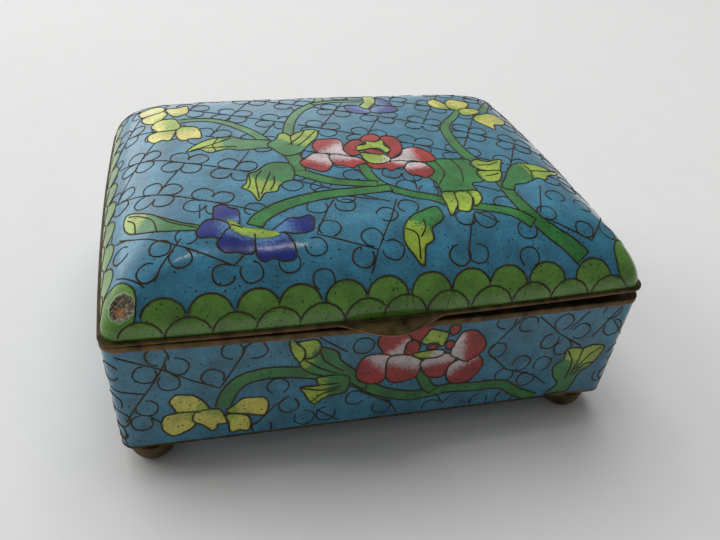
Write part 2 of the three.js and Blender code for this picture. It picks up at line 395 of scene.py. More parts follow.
@dataclass(frozen=True)
class LidForm:
    """The domed lid: a soft shoulder all round that runs into a gently crowned top.

    Its pattern is drawn flat, with the shoulder rolled out to its true width, and wrapped on by wrap().
    """

    width: float = 114.6
    depth: float = 92.0
    side_bow: float = 1.1
    corner_radius: float = RIM_CORNER
    shell_inset: float = 0.7
    foot: float = 0.8
    wall: float = 1.6
    shoulder_width: float = 15.0
    shoulder_height: float = 11.5
    shoulder_power: float = 1.85
    crown: float = 3.7
    softening: float = 0.5

    @property
    def half_x(self) -> float:
        """Half the enamelled shell's width at its foot."""
        return self.width / 2 - self.shell_inset

    @property
    def half_y(self) -> float:
        """Half the enamelled shell's depth at its foot."""
        return self.depth / 2 - self.shell_inset

    def rim(self, inset: float) -> Plan:
        """The plan of the lid's rim, drawn in by inset."""
        radius = max(self.corner_radius - inset, 0.8)
        return Plan(self.width / 2 - inset, self.depth / 2 - inset, radius, self.side_bow)

    def height(self, inward: np.ndarray) -> np.ndarray:
        """The dome's height above the lid's underside at a distance in from the shell's foot."""
        share = np.clip(inward / self.shoulder_width, 0, 1)
        shoulder = (1 - (1 - share) ** self.shoulder_power) ** (1 / self.shoulder_power)
        rise = 1 - (1 - np.clip(inward, 0, self.half_y) / self.half_y) ** 2
        return self.foot + self.shoulder_height * shoulder + self.crown * rise

    def roll(self, inward: np.ndarray) -> np.ndarray:
        """How much further out a point lies when the shoulder is rolled out flat."""
        inset = self.shoulder_width * np.linspace(0, 1, 3001) ** 2
        steps = np.hypot(np.diff(inset), np.diff(self.height(inset)))
        arc = np.concatenate([[0], np.cumsum(steps)])
        spare = (arc[-1] - arc) - (self.shoulder_width - inset)
        return np.interp(inward, inset, spare, right=0.0)

    def ring(self, inward: float | np.ndarray, rolled: float | np.ndarray = 0.0) -> Plan:
        """The dome's plan at a distance in from its foot, grown by rolled."""
        bow = self.side_bow * (1 - (inward + self.shell_inset) / (self.depth / 2))
        limit = np.minimum(self.half_x - inward, self.half_y - inward) - 0.01
        radius = np.minimum(self.corner_radius + self.softening * inward, limit)
        return Plan(self.half_x - inward + rolled, self.half_y - inward + rolled, radius + rolled, bow)

    def outline(self) -> Plan:
        """The flat pattern's outline."""
        return self.ring(0.0, float(self.roll(np.array(0.0))))

    def _beyond(self, u: np.ndarray, v: np.ndarray, inward: np.ndarray) -> tuple[np.ndarray, np.ndarray,
            np.ndarray]:
        """How far flat points lie outside the rolled-out ring at inward, and their place about its corner."""
        plan = self.ring(inward, self.roll(inward))
        x, y = np.abs(u), np.abs(v)
        share_x = np.clip(x / np.maximum(plan.half_x - plan.radius, 1e-6), 0, 1)
        share_y = np.clip(y / np.maximum(plan.half_y - plan.radius, 1e-6), 0, 1)
        near_x = np.clip(x / plan.half_x, 0, 1) ** 8
        near_y = np.clip(y / plan.half_y, 0, 1) ** 8
        qx = x - plan.bow * (1 - share_y**2) * near_x - (plan.half_x - plan.radius)
        qy = y - plan.bow * (1 - share_x**2) * near_y - (plan.half_y - plan.radius)
        outside = np.hypot(np.maximum(qx, 0), np.maximum(qy, 0)) + np.minimum(np.maximum(qx, qy), 0)
        return outside - plan.radius, qx, qy

    def inward_of(self, u: np.ndarray, v: np.ndarray) -> np.ndarray:
        """How far in from the shell's foot each flat point lies, found by halving."""
        low = np.zeros(np.shape(u))
        high = np.full(np.shape(u), self.half_y - 0.05)
        for _ in range(34):
            middle = (low + high) / 2
            inside = self._beyond(u, v, middle)[0] < 0
            low = np.where(inside, middle, low)
            high = np.where(inside, high, middle)
        return (low + high) / 2

    def wrap(self, flat: np.ndarray) -> np.ndarray:
        """Lays flat pattern points on the dome.

        Args:
            flat: an (n, 2) array.

        Returns:
            An (n, 3) array in the lid's own millimetres.
        """
        u, v = flat[:, 0], flat[:, 1]
        inward = self.inward_of(u, v)
        _, qx, qy = self._beyond(u, v, inward)
        corner = (qx > 0) & (qy > 0)
        length = np.hypot(np.maximum(qx, 0), np.maximum(qy, 0)) + 1e-12
        out_x = np.where(corner, np.maximum(qx, 0) / length, np.where(qx > qy, 1.0, 0.0))
        out_y = np.where(corner, np.maximum(qy, 0) / length, np.where(qx > qy, 0.0, 1.0))
        rolled = self.roll(inward)
        return np.stack([u - np.sign(u) * out_x * rolled, v - np.sign(v) * out_y * rolled,
            self.height(inward)], -1)

    def inner(self, inward: float) -> tuple[Plan, float]:
        """The ring of the lid's hollow that lies a wall's thickness square under the dome."""
        step = 0.01
        slope = float(self.height(np.array(inward + step)) - self.height(np.array(inward))) / step
        lean = math.hypot(1, slope)
        inset = inward + self.wall * slope / lean
        level = float(self.height(np.array(inward))) - self.wall / lean
        return self.ring(inset), max(level, self.foot)


@dataclass(frozen=True)
class WallForm:
    """The tray's four walls: a rounded rectangle that narrows a little to the foot at its two ends."""

    width: float = 114.6
    depth: float = 92.0
    set_back: float = 0.25
    corner_radius: float = RIM_CORNER
    side_bow: float = 1.1
    height: float = 28.3
    taper: float = 1.2

    def plan(self, level: float | np.ndarray, inset: float = 0.0) -> Plan:
        """The walls' outer plan at a height above the underside, drawn in by inset."""
        drawn = self.set_back + inset
        return Plan(self.width / 2 - drawn - self.taper * (1 - level / self.height), self.depth / 2 - drawn,
            max(self.corner_radius - drawn, 0.8), self.side_bow * level / self.height)

    @property
    def run(self) -> tuple[float, float, float]:
        """The length of a long side, a corner and a short side of the rolled-out walls."""
        top = self.plan(self.height)
        return 2 * (top.half_x - top.radius), math.pi / 2 * top.radius, 2 * (top.half_y - top.radius)

    @property
    def girth(self) -> float:
        """The walls' length all round."""
        long, corner, short = self.run
        return 2 * (long + short) + 4 * corner

    @property
    def seam(self) -> float:
        """Where the rolled-out walls begin, in the middle of the back left corner."""
        long, corner, short = self.run
        return -(long / 2 + 1.5 * corner + short)

    def turn_at(self, along: np.ndarray) -> np.ndarray:
        """Where on the outline a distance along the walls falls, counted from the middle of the front."""
        long, corner, short = self.run
        stops = np.cumsum([0, long, corner, short, corner, long, corner, short, corner])
        place = (np.asarray(along) + long / 2) % self.girth
        return np.interp(place, stops, np.arange(9.0))

    def wrap(self, flat: np.ndarray) -> np.ndarray:
        """Lays flat pattern points, (distance along, height), on the walls.

        Args:
            flat: an (n, 2) array.

        Returns:
            An (n, 3) array in the tray's own millimetres.
        """
        points = self.plan(flat[:, 1]).at(self.turn_at(flat[:, 0]))
        return np.column_stack([points, flat[:, 1]])


def surface_normals(form: LidForm | WallForm, flat: np.ndarray) -> np.ndarray:
    """Outward unit normals of a wrapped pattern.

    Args:
        form: the surface.
        flat: an (n, 2) array of pattern points.

    Returns:
        An (n, 3) array.
    """
    step = 0.02
    toward = np.where(flat > 0, -step, step)
    if isinstance(form, WallForm):
        toward[:, 0] = step
        toward[:, 1] = np.where(flat[:, 1] > form.height / 2, -step, step)
    here = form.wrap(flat)
    along = form.wrap(flat + toward * [1, 0]) - here
    across = form.wrap(flat + toward * [0, 1]) - here
    normal = np.cross(along, across) * np.sign(toward[:, :1] * toward[:, 1:])
    return normal / np.maximum(np.linalg.norm(normal, axis=1, keepdims=True), 1e-12)


# ---------------------------------------------------------------- the drawn pattern


def curve(points: Sequence[Point], closed: bool = False, spacing: float = 0.6) -> np.ndarray:
    """A smooth curve through a few points.

    Args:
        points: the points it passes.
        closed: whether it returns to the first.
        spacing: the greatest distance between the points returned.

    Returns:
        An (n, 2) array.
    """
    knots = np.array(points, float)
    if closed:
        ends = np.vstack([knots[-1:], knots, knots[:2]])
    else:
        ends = np.vstack([2 * knots[0] - knots[1], knots, 2 * knots[-1] - knots[-2]])
    made = []
    for before, start, end, after in zip(ends, ends[1:], ends[2:], ends[3:]):
        count = max(2, math.ceil(math.dist(start, end) / spacing))
        t = np.linspace(0, 1, count, endpoint=False)[:, None]
        made.append(0.5 * (2 * start + (end - before) * t
            + (2 * before - 5 * start + 4 * end - after) * t**2
            + (3 * start - before - 3 * end + after) * t**3))
    if not closed:
        made.append(knots[-1:])
    return np.vstack(made)


def straight(points: Sequence[Point], spacing: float = 1.2) -> np.ndarray:
    """Straight runs between points, cut into short steps so that they follow the surface."""
    knots = np.array(points, float)
    made = [knots[:1]]
    for start, end in zip(knots, knots[1:]):
        count = max(1, math.ceil(math.dist(start, end) / spacing))
        made.append(start + (end - start) * np.linspace(0, 1, count + 1)[1:, None])
    return np.vstack(made)


def inside(points: np.ndarray, loop: np.ndarray) -> np.ndarray:
    """Which points lie inside a closed outline.

    Args:
        points: an (n, 2) array.
        loop: the outline's corners.

    Returns:
        An array of n truths.
    """
    found = np.zeros(len(points), bool)
    low, high = loop.min(0), loop.max(0)
    near = np.flatnonzero(((points >= low) & (points <= high)).all(1))
    if not len(near):
        return found
    x, y = points[near, 0][:, None], points[near, 1][:, None]
    ax, ay = loop[:, 0], loop[:, 1]
    bx, by = np.roll(ax, -1), np.roll(ay, -1)
    crosses = (ay > y) != (by > y)
    meets = ax + (y - ay) * (bx - ax) / np.where(by == ay, 1e-9, by - ay)
    found[near] = (crosses & (x < meets)).sum(1) % 2 == 1
    return found


def anticlockwise(loop: np.ndarray) -> np.ndarray:
    """The same outline, turned to run anticlockwise."""
    x, y = loop[:, 0], loop[:, 1]
    area = (x * np.roll(y, -1) - np.roll(x, -1) * y).sum()
    return loop if area > 0 else loop[::-1]


def grown(points: Sequence[Point], reach: float) -> list[Point]:
    """The same few points, each moved out from their middle.

    Args:
        points: the points.
        reach: how far each moves.

    Returns:
        The moved points.
    """
    middle = np.mean(points, axis=0)
    away = np.subtract(points, middle)
    moved = middle + away * (1 + reach / np.linalg.norm(away, axis=1, keepdims=True))
    return [(float(x), float(y)) for x, y in moved]


@dataclass
class Cell:
    """One field of enamel between wires, from one colour at start to another at end."""

    outline: np.ndarray
    near: Glaze
    far: Glaze
    start: Point
    end: Point


@dataclass
class Strand:
    """One run of wire, over the cells drawn before it and under those drawn after."""

    path: np.ndarray
    layer: int


@dataclass
class Pattern:
    """A flat drawing of enamel cells and the wires that part them, in painter's order."""

    cells: list[Cell] = field(default_factory=list)
    strands: list[Strand] = field(default_factory=list)
    ground: list[Strand] = field(default_factory=list)

    def fill(self, outline: np.ndarray, near: Glaze, far: Glaze | None = None, start: Point = (0, 0),
            end: Point = (1, 0)) -> None:
        """Adds a cell and the wire round it.

        Args:
            outline: its closed outline.
            near: the colour at start.
            far: the colour at end, or None for one colour.
            start: where the change begins.
            end: where it is complete.
        """
        self.cells.append(Cell(anticlockwise(outline), near, far or near, start, end))
        self.wire(np.vstack([outline, outline[:1]]))

    def shape(self, points: Sequence[Point], near: Glaze, far: Glaze | None = None, start: Point = (0, 0),
            end: Point = (1, 0), wired: bool = True) -> None:
        """Adds a cell with a smooth outline through a few points.

        Args:
            points: the points on its outline.
            near: the colour at start.
            far: the colour at end, or None for one colour.
            start: where the change begins.
            end: where it is complete.
            wired: whether a wire runs round it.
        """
        self.fill(curve(points, True), near, far, start, end)
        if not wired:
            self.strands.pop()

    def veins(self, *runs: Sequence[Point]) -> None:
        """Adds smooth wires inside what is drawn so far."""
        for run in runs:
            self.wire(curve(run))

    def wire(self, path: np.ndarray) -> None:
        """Adds a run of wire over what is drawn so far."""
        self.strands.append(Strand(path, len(self.cells)))

    def vine(self, points: Sequence[Point], start: float = 2.4, end: float = 2.4,
            colour: Glaze = Glaze.LEAF) -> None:
        """A stem along a curve, wired on both sides.

        Args:
            points: the points its middle passes.
            start: its width at the first.
            end: its width at the last.
            colour: its enamel.
        """
        middle = curve(points, spacing=0.8)
        heading = np.gradient(middle, axis=0)
        heading /= np.linalg.norm(heading, axis=1, keepdims=True)
        side = np.column_stack([-heading[:, 1], heading[:, 0]])
        half = np.linspace(start / 2, end / 2, len(middle))[:, None]
        self.fill(np.vstack([middle + side * half, (middle - side * half)[::-1]]), colour)

    def loop(self, x: float, y: float, opening: float | None = None, size: float = 4.4) -> None:
        """A ring of ground wire, left open where it meets a line.

        Args:
            x: its middle.
            y: its middle.
            opening: the direction of its gap in degrees, or None for a closed ring.
            size: its diameter.
        """
        gap = 0.0 if opening is None else 0.17
        t = math.radians(opening or 0.0) + np.linspace(gap * math.pi, (2 - gap) * math.pi, 24)
        drift = 1 + 0.05 * np.sin(2 * t + x)
        path = np.column_stack([x + size / 2 * np.cos(t) * drift, y + size / 2 * np.sin(t) / drift])
        self.ground.append(Strand(path, 0))

    def knot(self, x: float, y: float, turn: float = 17.0, size: float = 4.4,
            loops: Sequence[int] = (0, 1, 2, 3)) -> None:
        """A crossing of the ground pattern with a loop in each quarter.

        Args:
            x: its place.
            y: its place.
            turn: the first loop's direction, in degrees.
            size: the loops' diameter.
            loops: which of the four quarters have one.
        """
        for quarter in loops:
            aim = turn + 92 * quarter
            reach = size * 0.72
            self.loop(x + reach * math.cos(math.radians(aim)), y + reach * math.sin(math.radians(aim)),
                aim + 180, size)

    def line(self, *points: Point) -> None:
        """A straight ground wire through points."""
        self.ground.append(Strand(straight(points), 0))

    def clipped(self, border: np.ndarray, keep: Sequence[Strand]) -> list[np.ndarray]:
        """Runs of wire with the stretches under later cells, or outside the border, cut away.

        Args:
            border: the pattern's outline.
            keep: the strands.

        Returns:
            The runs left, each an (n, 2) array.
        """
        points = np.vstack([strand.path for strand in keep])
        layer = np.concatenate([np.full(len(strand.path), strand.layer) for strand in keep])
        owner = np.concatenate([np.full(len(strand.path), i) for i, strand in enumerate(keep)])
        shown = inside(points, border)
        for index, cell in enumerate(self.cells):
            shown &= ~((layer <= index) & inside(points, cell.outline))
        breaks = np.flatnonzero(np.diff(owner) | np.diff(shown.astype(int))) + 1
        runs = [run for run in np.split(np.arange(len(points)), breaks) if shown[run[0]] and len(run) > 1]
        return [points[run] for run in runs]


# ---------------------------------------------------------------- meshes


def link_object(name: str, mesh: bpy.types.Mesh) -> bpy.types.Object:
    """A new object in the scene that holds the mesh."""
    made = bpy.data.objects.new(name, mesh)
    bpy.context.scene.collection.objects.link(made)
    return made


def placed(points: np.ndarray, matrix: Matrix) -> np.ndarray:
    """Points carried by a transform, as an (n, 3) array in metres."""
    turn = np.array(matrix)
    return points @ turn[:3, :3].T + turn[:3, 3]


@dataclass
class Tiling:
    """A flat pattern cut into triangles, each owned by the topmost cell over it."""

    points: np.ndarray
    triangles: np.ndarray
    owners: np.ndarray  # a cell's index, or -1 for the ground


def tiled(pattern: Pattern, border: np.ndarray, spacing: float, extra: np.ndarray | None = None) -> Tiling:
    """Cuts a pattern into triangles along every cell's outline.

    Args:
        pattern: the drawing.
        border: its outline.
        spacing: the distance between the points that fill it.
        extra: further points, where the surface needs more.

    Returns:
        The tiling.
    """
    outlines = [border] + [cell.outline for cell in pattern.cells]
    starts = np.cumsum([0] + [len(outline) for outline in outlines])
    low, high = border.min(0), border.max(0)
    columns = np.arange(low[0], high[0], spacing)
    rows = np.arange(low[1] + spacing / 2, high[1], spacing * 0.866)
    grid = np.stack(np.meshgrid(columns, rows), -1)
    grid[1::2, :, 0] += spacing / 2
    grid = grid.reshape(-1, 2)
    grid = grid[inside(grid, border)]
    gap = np.min(np.hypot(*(grid[:, None, :] - border[None, ::2, :]).transpose(2, 0, 1)), axis=1)
    grid = grid[gap > spacing * 0.6]
    fill = [grid] if extra is None else [grid, extra]
    corners = [Vector(point) for point in np.vstack(outlines + fill)]
    faces = [list(range(a, b)) for a, b in zip(starts, starts[1:])]
    points, _, triangles, _, _, sources = delaunay_2d_cdt(corners, [], faces, 1, 1e-5, True)
    kept = [(tri, max(source) - 1) for tri, source in zip(triangles, sources) if 0 in source]
    flat = np.array([tuple(point) for point in points])
    tris = np.array([tri for tri, _ in kept])
    owners = np.array([owner for _, owner in kept])
    a, b, c = flat[tris[:, 0]], flat[tris[:, 1]], flat[tris[:, 2]]
    area = (b[:, 0] - a[:, 0]) * (c[:, 1] - a[:, 1]) - (b[:, 1] - a[:, 1]) * (c[:, 0] - a[:, 0])
    tris[area < 0] = tris[area < 0][:, ::-1]
    whole = np.abs(area) > 1e-7
    used = np.unique(tris[whole])
    renumber = np.full(len(flat), -1)
    renumber[used] = np.arange(len(used))
    return Tiling(flat[used], renumber[tris[whole]], owners[whole])


@dataclass
class Skin:
    """A body of enamelled copper: the patterned face, and the plain faces that close it behind."""

    name: str
    pattern: Pattern
    tiling: Tiling
    points: np.ndarray  # mm, in the part's own frame
    normals: np.ndarray
    extra: list[np.ndarray] = field(default_factory=list)
    faces: list[tuple[int, ...]] = field(default_factory=list)

    @property
    def count(self) -> int:
        """How many points the skin has so far."""
        return len(self.points) + sum(len(ring) for ring in self.extra)

    def close(self, edge: np.ndarray, turns: np.ndarray, rings: Sequence[tuple[Plan, float]]) -> None:
        """Carries an open edge inward along rings and closes it with a fan.

        Args:
            edge: the edge's points, in the order that its own faces run.
            turns: where on the plan each lies.
            rings: the plans and heights that it passes.
        """
        last = list(edge)
        for plan, level in rings:
            first = self.count
            flat = plan.at(turns)
            self.extra.append(np.column_stack([flat, np.full(len(flat), level)]))
            new = list(range(first, first + len(flat)))
            for i in range(len(last)):
                j = (i + 1) % len(last)
                self.faces.append((last[j], last[i], new[i], new[j]))
            last = new
        middle = self.count
        self.extra.append(np.array([[0.0, 0.0, rings[-1][1]]]))
        for i in range(len(last)):
            self.faces.append((last[(i + 1) % len(last)], last[i], middle))

    def build(self, matrix: Matrix, plain: Glaze, shares: dict[str, np.ndarray]) -> bpy.types.Object:
        """Makes the mesh with its colours.

        Args:
            matrix: from the part's millimetres to the row frame.
            plain: the enamel of the hidden faces.
            shares: further numbers for each point of the patterned face, by name.

        Returns:
            The object.
        """
        tris = self.tiling.triangles
        points = np.vstack([self.points] + self.extra)
        mesh = bpy.data.meshes.new(self.name)
        mesh.from_pydata(placed(points, matrix).tolist(), [], tris.tolist() + self.faces)
        corners = sum(len(face) for face in self.faces)
        cells = self.pattern.cells + [Cell(np.zeros((1, 2)), Glaze.SKY, Glaze.SKY, (0, 0), (1, 0))]
        near = np.array([linear(cell.near.value) for cell in cells])[self.tiling.owners]
        far = np.array([linear(cell.far.value) for cell in cells])[self.tiling.owners]
        start = np.array([cell.start for cell in cells], float)[self.tiling.owners]
        aim = np.array([np.subtract(cell.end, cell.start) for cell in cells], float)[self.tiling.owners]
        flat = self.tiling.points[tris]
        fade = ((flat - start[:, None]) * aim[:, None]).sum(-1) / (aim**2).sum(-1)[:, None]
        behind = np.array(linear(plain.value))
        for name, colours in (("near", near), ("far", far)):
            layer = mesh.attributes.new(name, "FLOAT_COLOR", "CORNER")
            values = np.vstack([np.repeat(colours, 3, axis=0), np.tile(behind, (corners, 1))])
            layer.data.foreach_set("color", values.astype(np.float32).ravel())
        layer = mesh.attributes.new("fade", "FLOAT", "CORNER")
        values = np.concatenate([np.clip(fade, -1, 2).ravel(), np.zeros(corners)])
        layer.data.foreach_set("value", values.astype(np.float32))
        owners = np.repeat(self.tiling.owners, 3)
        lowest = np.full(len(self.points), owners.max())
        highest = np.full(len(self.points), owners.min())
        np.minimum.at(lowest, tris.ravel(), owners)
        np.maximum.at(highest, tris.ravel(), owners)
        for name, numbers in {**shares, "brink": lowest != highest}.items():
            layer = mesh.attributes.new(name, "FLOAT", "POINT")
            values = np.concatenate([numbers, np.zeros(len(points) - len(self.points))])
            layer.data.foreach_set("value", values.astype(np.float32))
        mesh.shade_smooth()
        mesh.set_sharp_from_angle(angle=math.radians(38))
        turned = self.normals @ np.array(matrix.to_3x3().normalized()).T
        custom = np.zeros((len(tris) * 3 + corners, 3))
        custom[: len(tris) * 3] = turned[tris].reshape(-1, 3)
        mesh.normals_split_custom_set(custom.tolist())
        return link_object(self.name, mesh)


def plain_mesh(name: str, points: np.ndarray, faces: Sequence[tuple[int, ...]], matrix: Matrix,
        edges: Sequence = ()) -> bpy.types.Object:
    """An object from points in a part's millimetres.

    Args:
        name: its name.
        points: an (n, 3) array.
        faces: its faces.
        matrix: from the part's millimetres to the row frame.
        edges: its loose edges.

    Returns:
        The object.
    """
    mesh = bpy.data.meshes.new(name)
    mesh.from_pydata(placed(points, matrix).tolist(), list(edges), list(faces))
    mesh.shade_smooth()
    return link_object(name, mesh)


def set_share(made: bpy.types.Object, name: str, values: np.ndarray) -> None:
    """Writes one number for each of a mesh's points under a name that its material reads."""
    layer = made.data.attributes.new(name, "FLOAT", "POINT")
    layer.data.foreach_set("value", np.asarray(values, np.float32))


def points_of(made: bpy.types.Object) -> np.ndarray:
    """A mesh's points in the row frame, in millimetres."""
    values = np.empty(len(made.data.vertices) * 3)
    made.data.vertices.foreach_get("co", values)
    return values.reshape(-1, 3) / MM


# ---------------------------------------------------------------- geometry nodes


@dataclass
class Grower:
    """A geometry tree that grows a piece along, or on, the plain mesh it is given."""

    name: str
    sizes: dict[str, float | int]
    tree: bpy.types.NodeTree = field(init=False)
    given: bpy.types.Node = field(init=False)

    def __post_init__(self) -> None:
        """Opens the tree and names its inputs."""
        self.tree = bpy.data.node_groups.new(self.name, "GeometryNodeTree")
        face = self.tree.interface
        face.new_socket("Path", in_out="INPUT", socket_type="NodeSocketGeometry")
        for name, value in self.sizes.items():
            kind = "NodeSocketInt" if isinstance(value, int) else "NodeSocketFloat"
            face.new_socket(name, in_out="INPUT", socket_type=kind).default_value = value
        face.new_socket("Finish", in_out="INPUT", socket_type="NodeSocketMaterial")
        face.new_socket("Piece", in_out="OUTPUT", socket_type="NodeSocketGeometry")
        self.given = add_node(self.tree, "NodeGroupInput")

    def end(self, grown: bpy.types.NodeSocket) -> None:
        """Realizes what has grown, gives it the finish and hands it out."""
        smooth = add_node(self.tree, "GeometryNodeSetShadeSmooth", inputs={0: grown})
        real = add_node(self.tree, "GeometryNodeRealizeInstances", inputs={0: smooth.outputs[0]})
        dressed = add_node(self.tree, "GeometryNodeSetMaterial",
            inputs={"Geometry": real.outputs[0], "Material": self.given.outputs["Finish"]})
        add_node(self.tree, "NodeGroupOutput", inputs={0: dressed.outputs[0]})

    def grow(self, seed: bpy.types.Object, finish: bpy.types.Material, **sizes: float) -> bpy.types.Object:
        """Runs the tree on an object and keeps the result as a plain mesh.

        Args:
            seed: the object that holds the path or points, which is used up.
            finish: the material.
            sizes: inputs to set, by name with spaces as underscores.

        Returns:
            The finished object.
        """
        modifier = seed.modifiers.new(self.name, "NODES")
        modifier.node_group = self.tree
        keys = {item.name: item.identifier for item in self.tree.interface.items_tree
            if item.in_out == "INPUT"}
        for name, value in {**self.sizes, **{key.replace("_", " "): v for key, v in sizes.items()}}.items():
            modifier[keys[name]] = value
        modifier[keys["Finish"]] = finish
        bpy.context.view_layer.update()
        grown = seed.evaluated_get(bpy.context.evaluated_depsgraph_get())
        mesh = bpy.data.meshes.new_from_object(grown)
        seed.modifiers.remove(modifier)
        name = seed.name
        bpy.data.objects.remove(seed)
        mesh.name = name
        return link_object(name, mesh)


def wire_grower() -> Grower:
    """Drawn copper wire along every edge of the path, of slightly uneven thickness."""
    made = Grower("soldered_wire", {"Wire Radius": 0.2 * MM, "Sides": 6, "Unevenness": 0.18})
    given = made.given.outputs
    bead = add_node(made.tree, "GeometryNodeCurvePrimitiveCircle",
        inputs={"Resolution": given["Sides"], "Radius": given["Wire Radius"]})
    where = add_node(made.tree, "GeometryNodeInputPosition")
    noise = add_node(made.tree, NOISE, inputs={"Vector": where.outputs[0], "Scale": 1 / (4 * MM)})
    swing = add_node(made.tree, MATH, {"operation": "SUBTRACT"}, {0: noise.outputs["Fac"], 1: 0.5})
    double = add_node(made.tree, MATH, {"operation": "MULTIPLY"}, {0: given["Unevenness"], 1: 3.0})
    scale = add_node(made.tree, MATH, {"operation": "MULTIPLY_ADD"},
        {0: swing.outputs[0], 1: double.outputs[0], 2: 1.0})
    runs = add_node(made.tree, "GeometryNodeMeshToCurve", inputs={"Mesh": given["Path"]})
    swept = add_node(made.tree, "GeometryNodeCurveToMesh",
        inputs={"Curve": runs.outputs[0], "Profile Curve": bead.outputs[0], "Scale": scale.outputs[0],
        "Fill Caps": True})
    made.end(swept.outputs[0])
    return made


def band_grower() -> Grower:
    """A flat strip with rounded edges, bent on its side along a level path."""
    sizes = {"Width": 2.2 * MM, "Height": 0.8 * MM, "Rounding": 0.2 * MM}
    made = Grower("rolled_band", sizes)
    given = made.given.outputs
    section = add_node(made.tree, "GeometryNodeCurvePrimitiveQuadrilateral", {"mode": "RECTANGLE"},
        {"Width": given["Width"], "Height": given["Height"]})
    rounded = add_node(made.tree, "GeometryNodeFilletCurve", {"mode": "POLY"},
        {"Curve": section.outputs[0], "Count": 4, "Radius": given["Rounding"], "Limit Radius": True})
    path = add_node(made.tree, "GeometryNodeMeshToCurve", inputs={"Mesh": given["Path"]})
    upright = add_node(made.tree, "GeometryNodeSetCurveNormal", {"mode": "Z_UP"},
        {"Curve": path.outputs[0]})
    swept = add_node(made.tree, "GeometryNodeCurveToMesh",
        inputs={"Curve": upright.outputs[0], "Profile Curve": rounded.outputs[0]})
    made.end(swept.outputs[0])
    return made


def set_on_points(turned: bpy.types.Object) -> Grower:
    """Copies of a turned piece, one on each point of the path.

    Args:
        turned: the piece, standing at the origin.

    Returns:
        The tree.
    """
    made = Grower("bun_feet", {"Size": 1.0})
    given = made.given.outputs
    piece = add_node(made.tree, "GeometryNodeObjectInfo", inputs={"Object": turned, "As Instance": True})
    stood = add_node(made.tree, "GeometryNodeInstanceOnPoints",
        inputs={"Points": given["Path"], "Instance": piece.outputs["Geometry"], "Scale": given["Size"]})
    made.end(stood.outputs[0])
    return made


def wire_seed(name: str, runs: Sequence[np.ndarray], matrix: Matrix) -> bpy.types.Object:
    """Loose edges along runs of points, for a tree to sweep.

    Args:
        name: the piece's name.
        runs: each an (n, 3) array in a part's millimetres.
        matrix: from there to the row frame.

    Returns:
        The object.
    """
    points = np.vstack(runs)
    ends = np.cumsum([len(run) for run in runs])
    edges = [(i, i + 1) for i in range(len(points) - 1)]
    skip = set((ends[:-1] - 1).tolist())
    return plain_mesh(name, points, [], matrix, [edge for edge in edges if edge[0] not in skip])


def ring_seed(name: str, plan: Plan, level: float, matrix: Matrix) -> bpy.types.Object:
    """A closed ring of edges along a plan, for a band to follow."""
    corner = np.linspace(0, 1, 9, endpoint=False)
    side = np.linspace(0, 1, 24, endpoint=False)
    turns = np.concatenate([stretch + (side if stretch % 2 == 0 else corner) for stretch in range(8)])
    flat = plan.at(turns)
    points = np.column_stack([flat, np.full(len(flat), level)])
    count = len(points)
    return plain_mesh(name, points, [], matrix, [(i, (i + 1) % count) for i in range(count)])


def mount(piece: bpy.types.Object, slot: str, *nodes: str) -> None:
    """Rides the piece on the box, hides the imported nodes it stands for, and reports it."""
    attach(piece, "root")
    if nodes:
        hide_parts(*nodes)
    LOG.info("%s: %d faces", piece.name, len(piece.data.polygons))


# ---------------------------------------------------------------- the lid


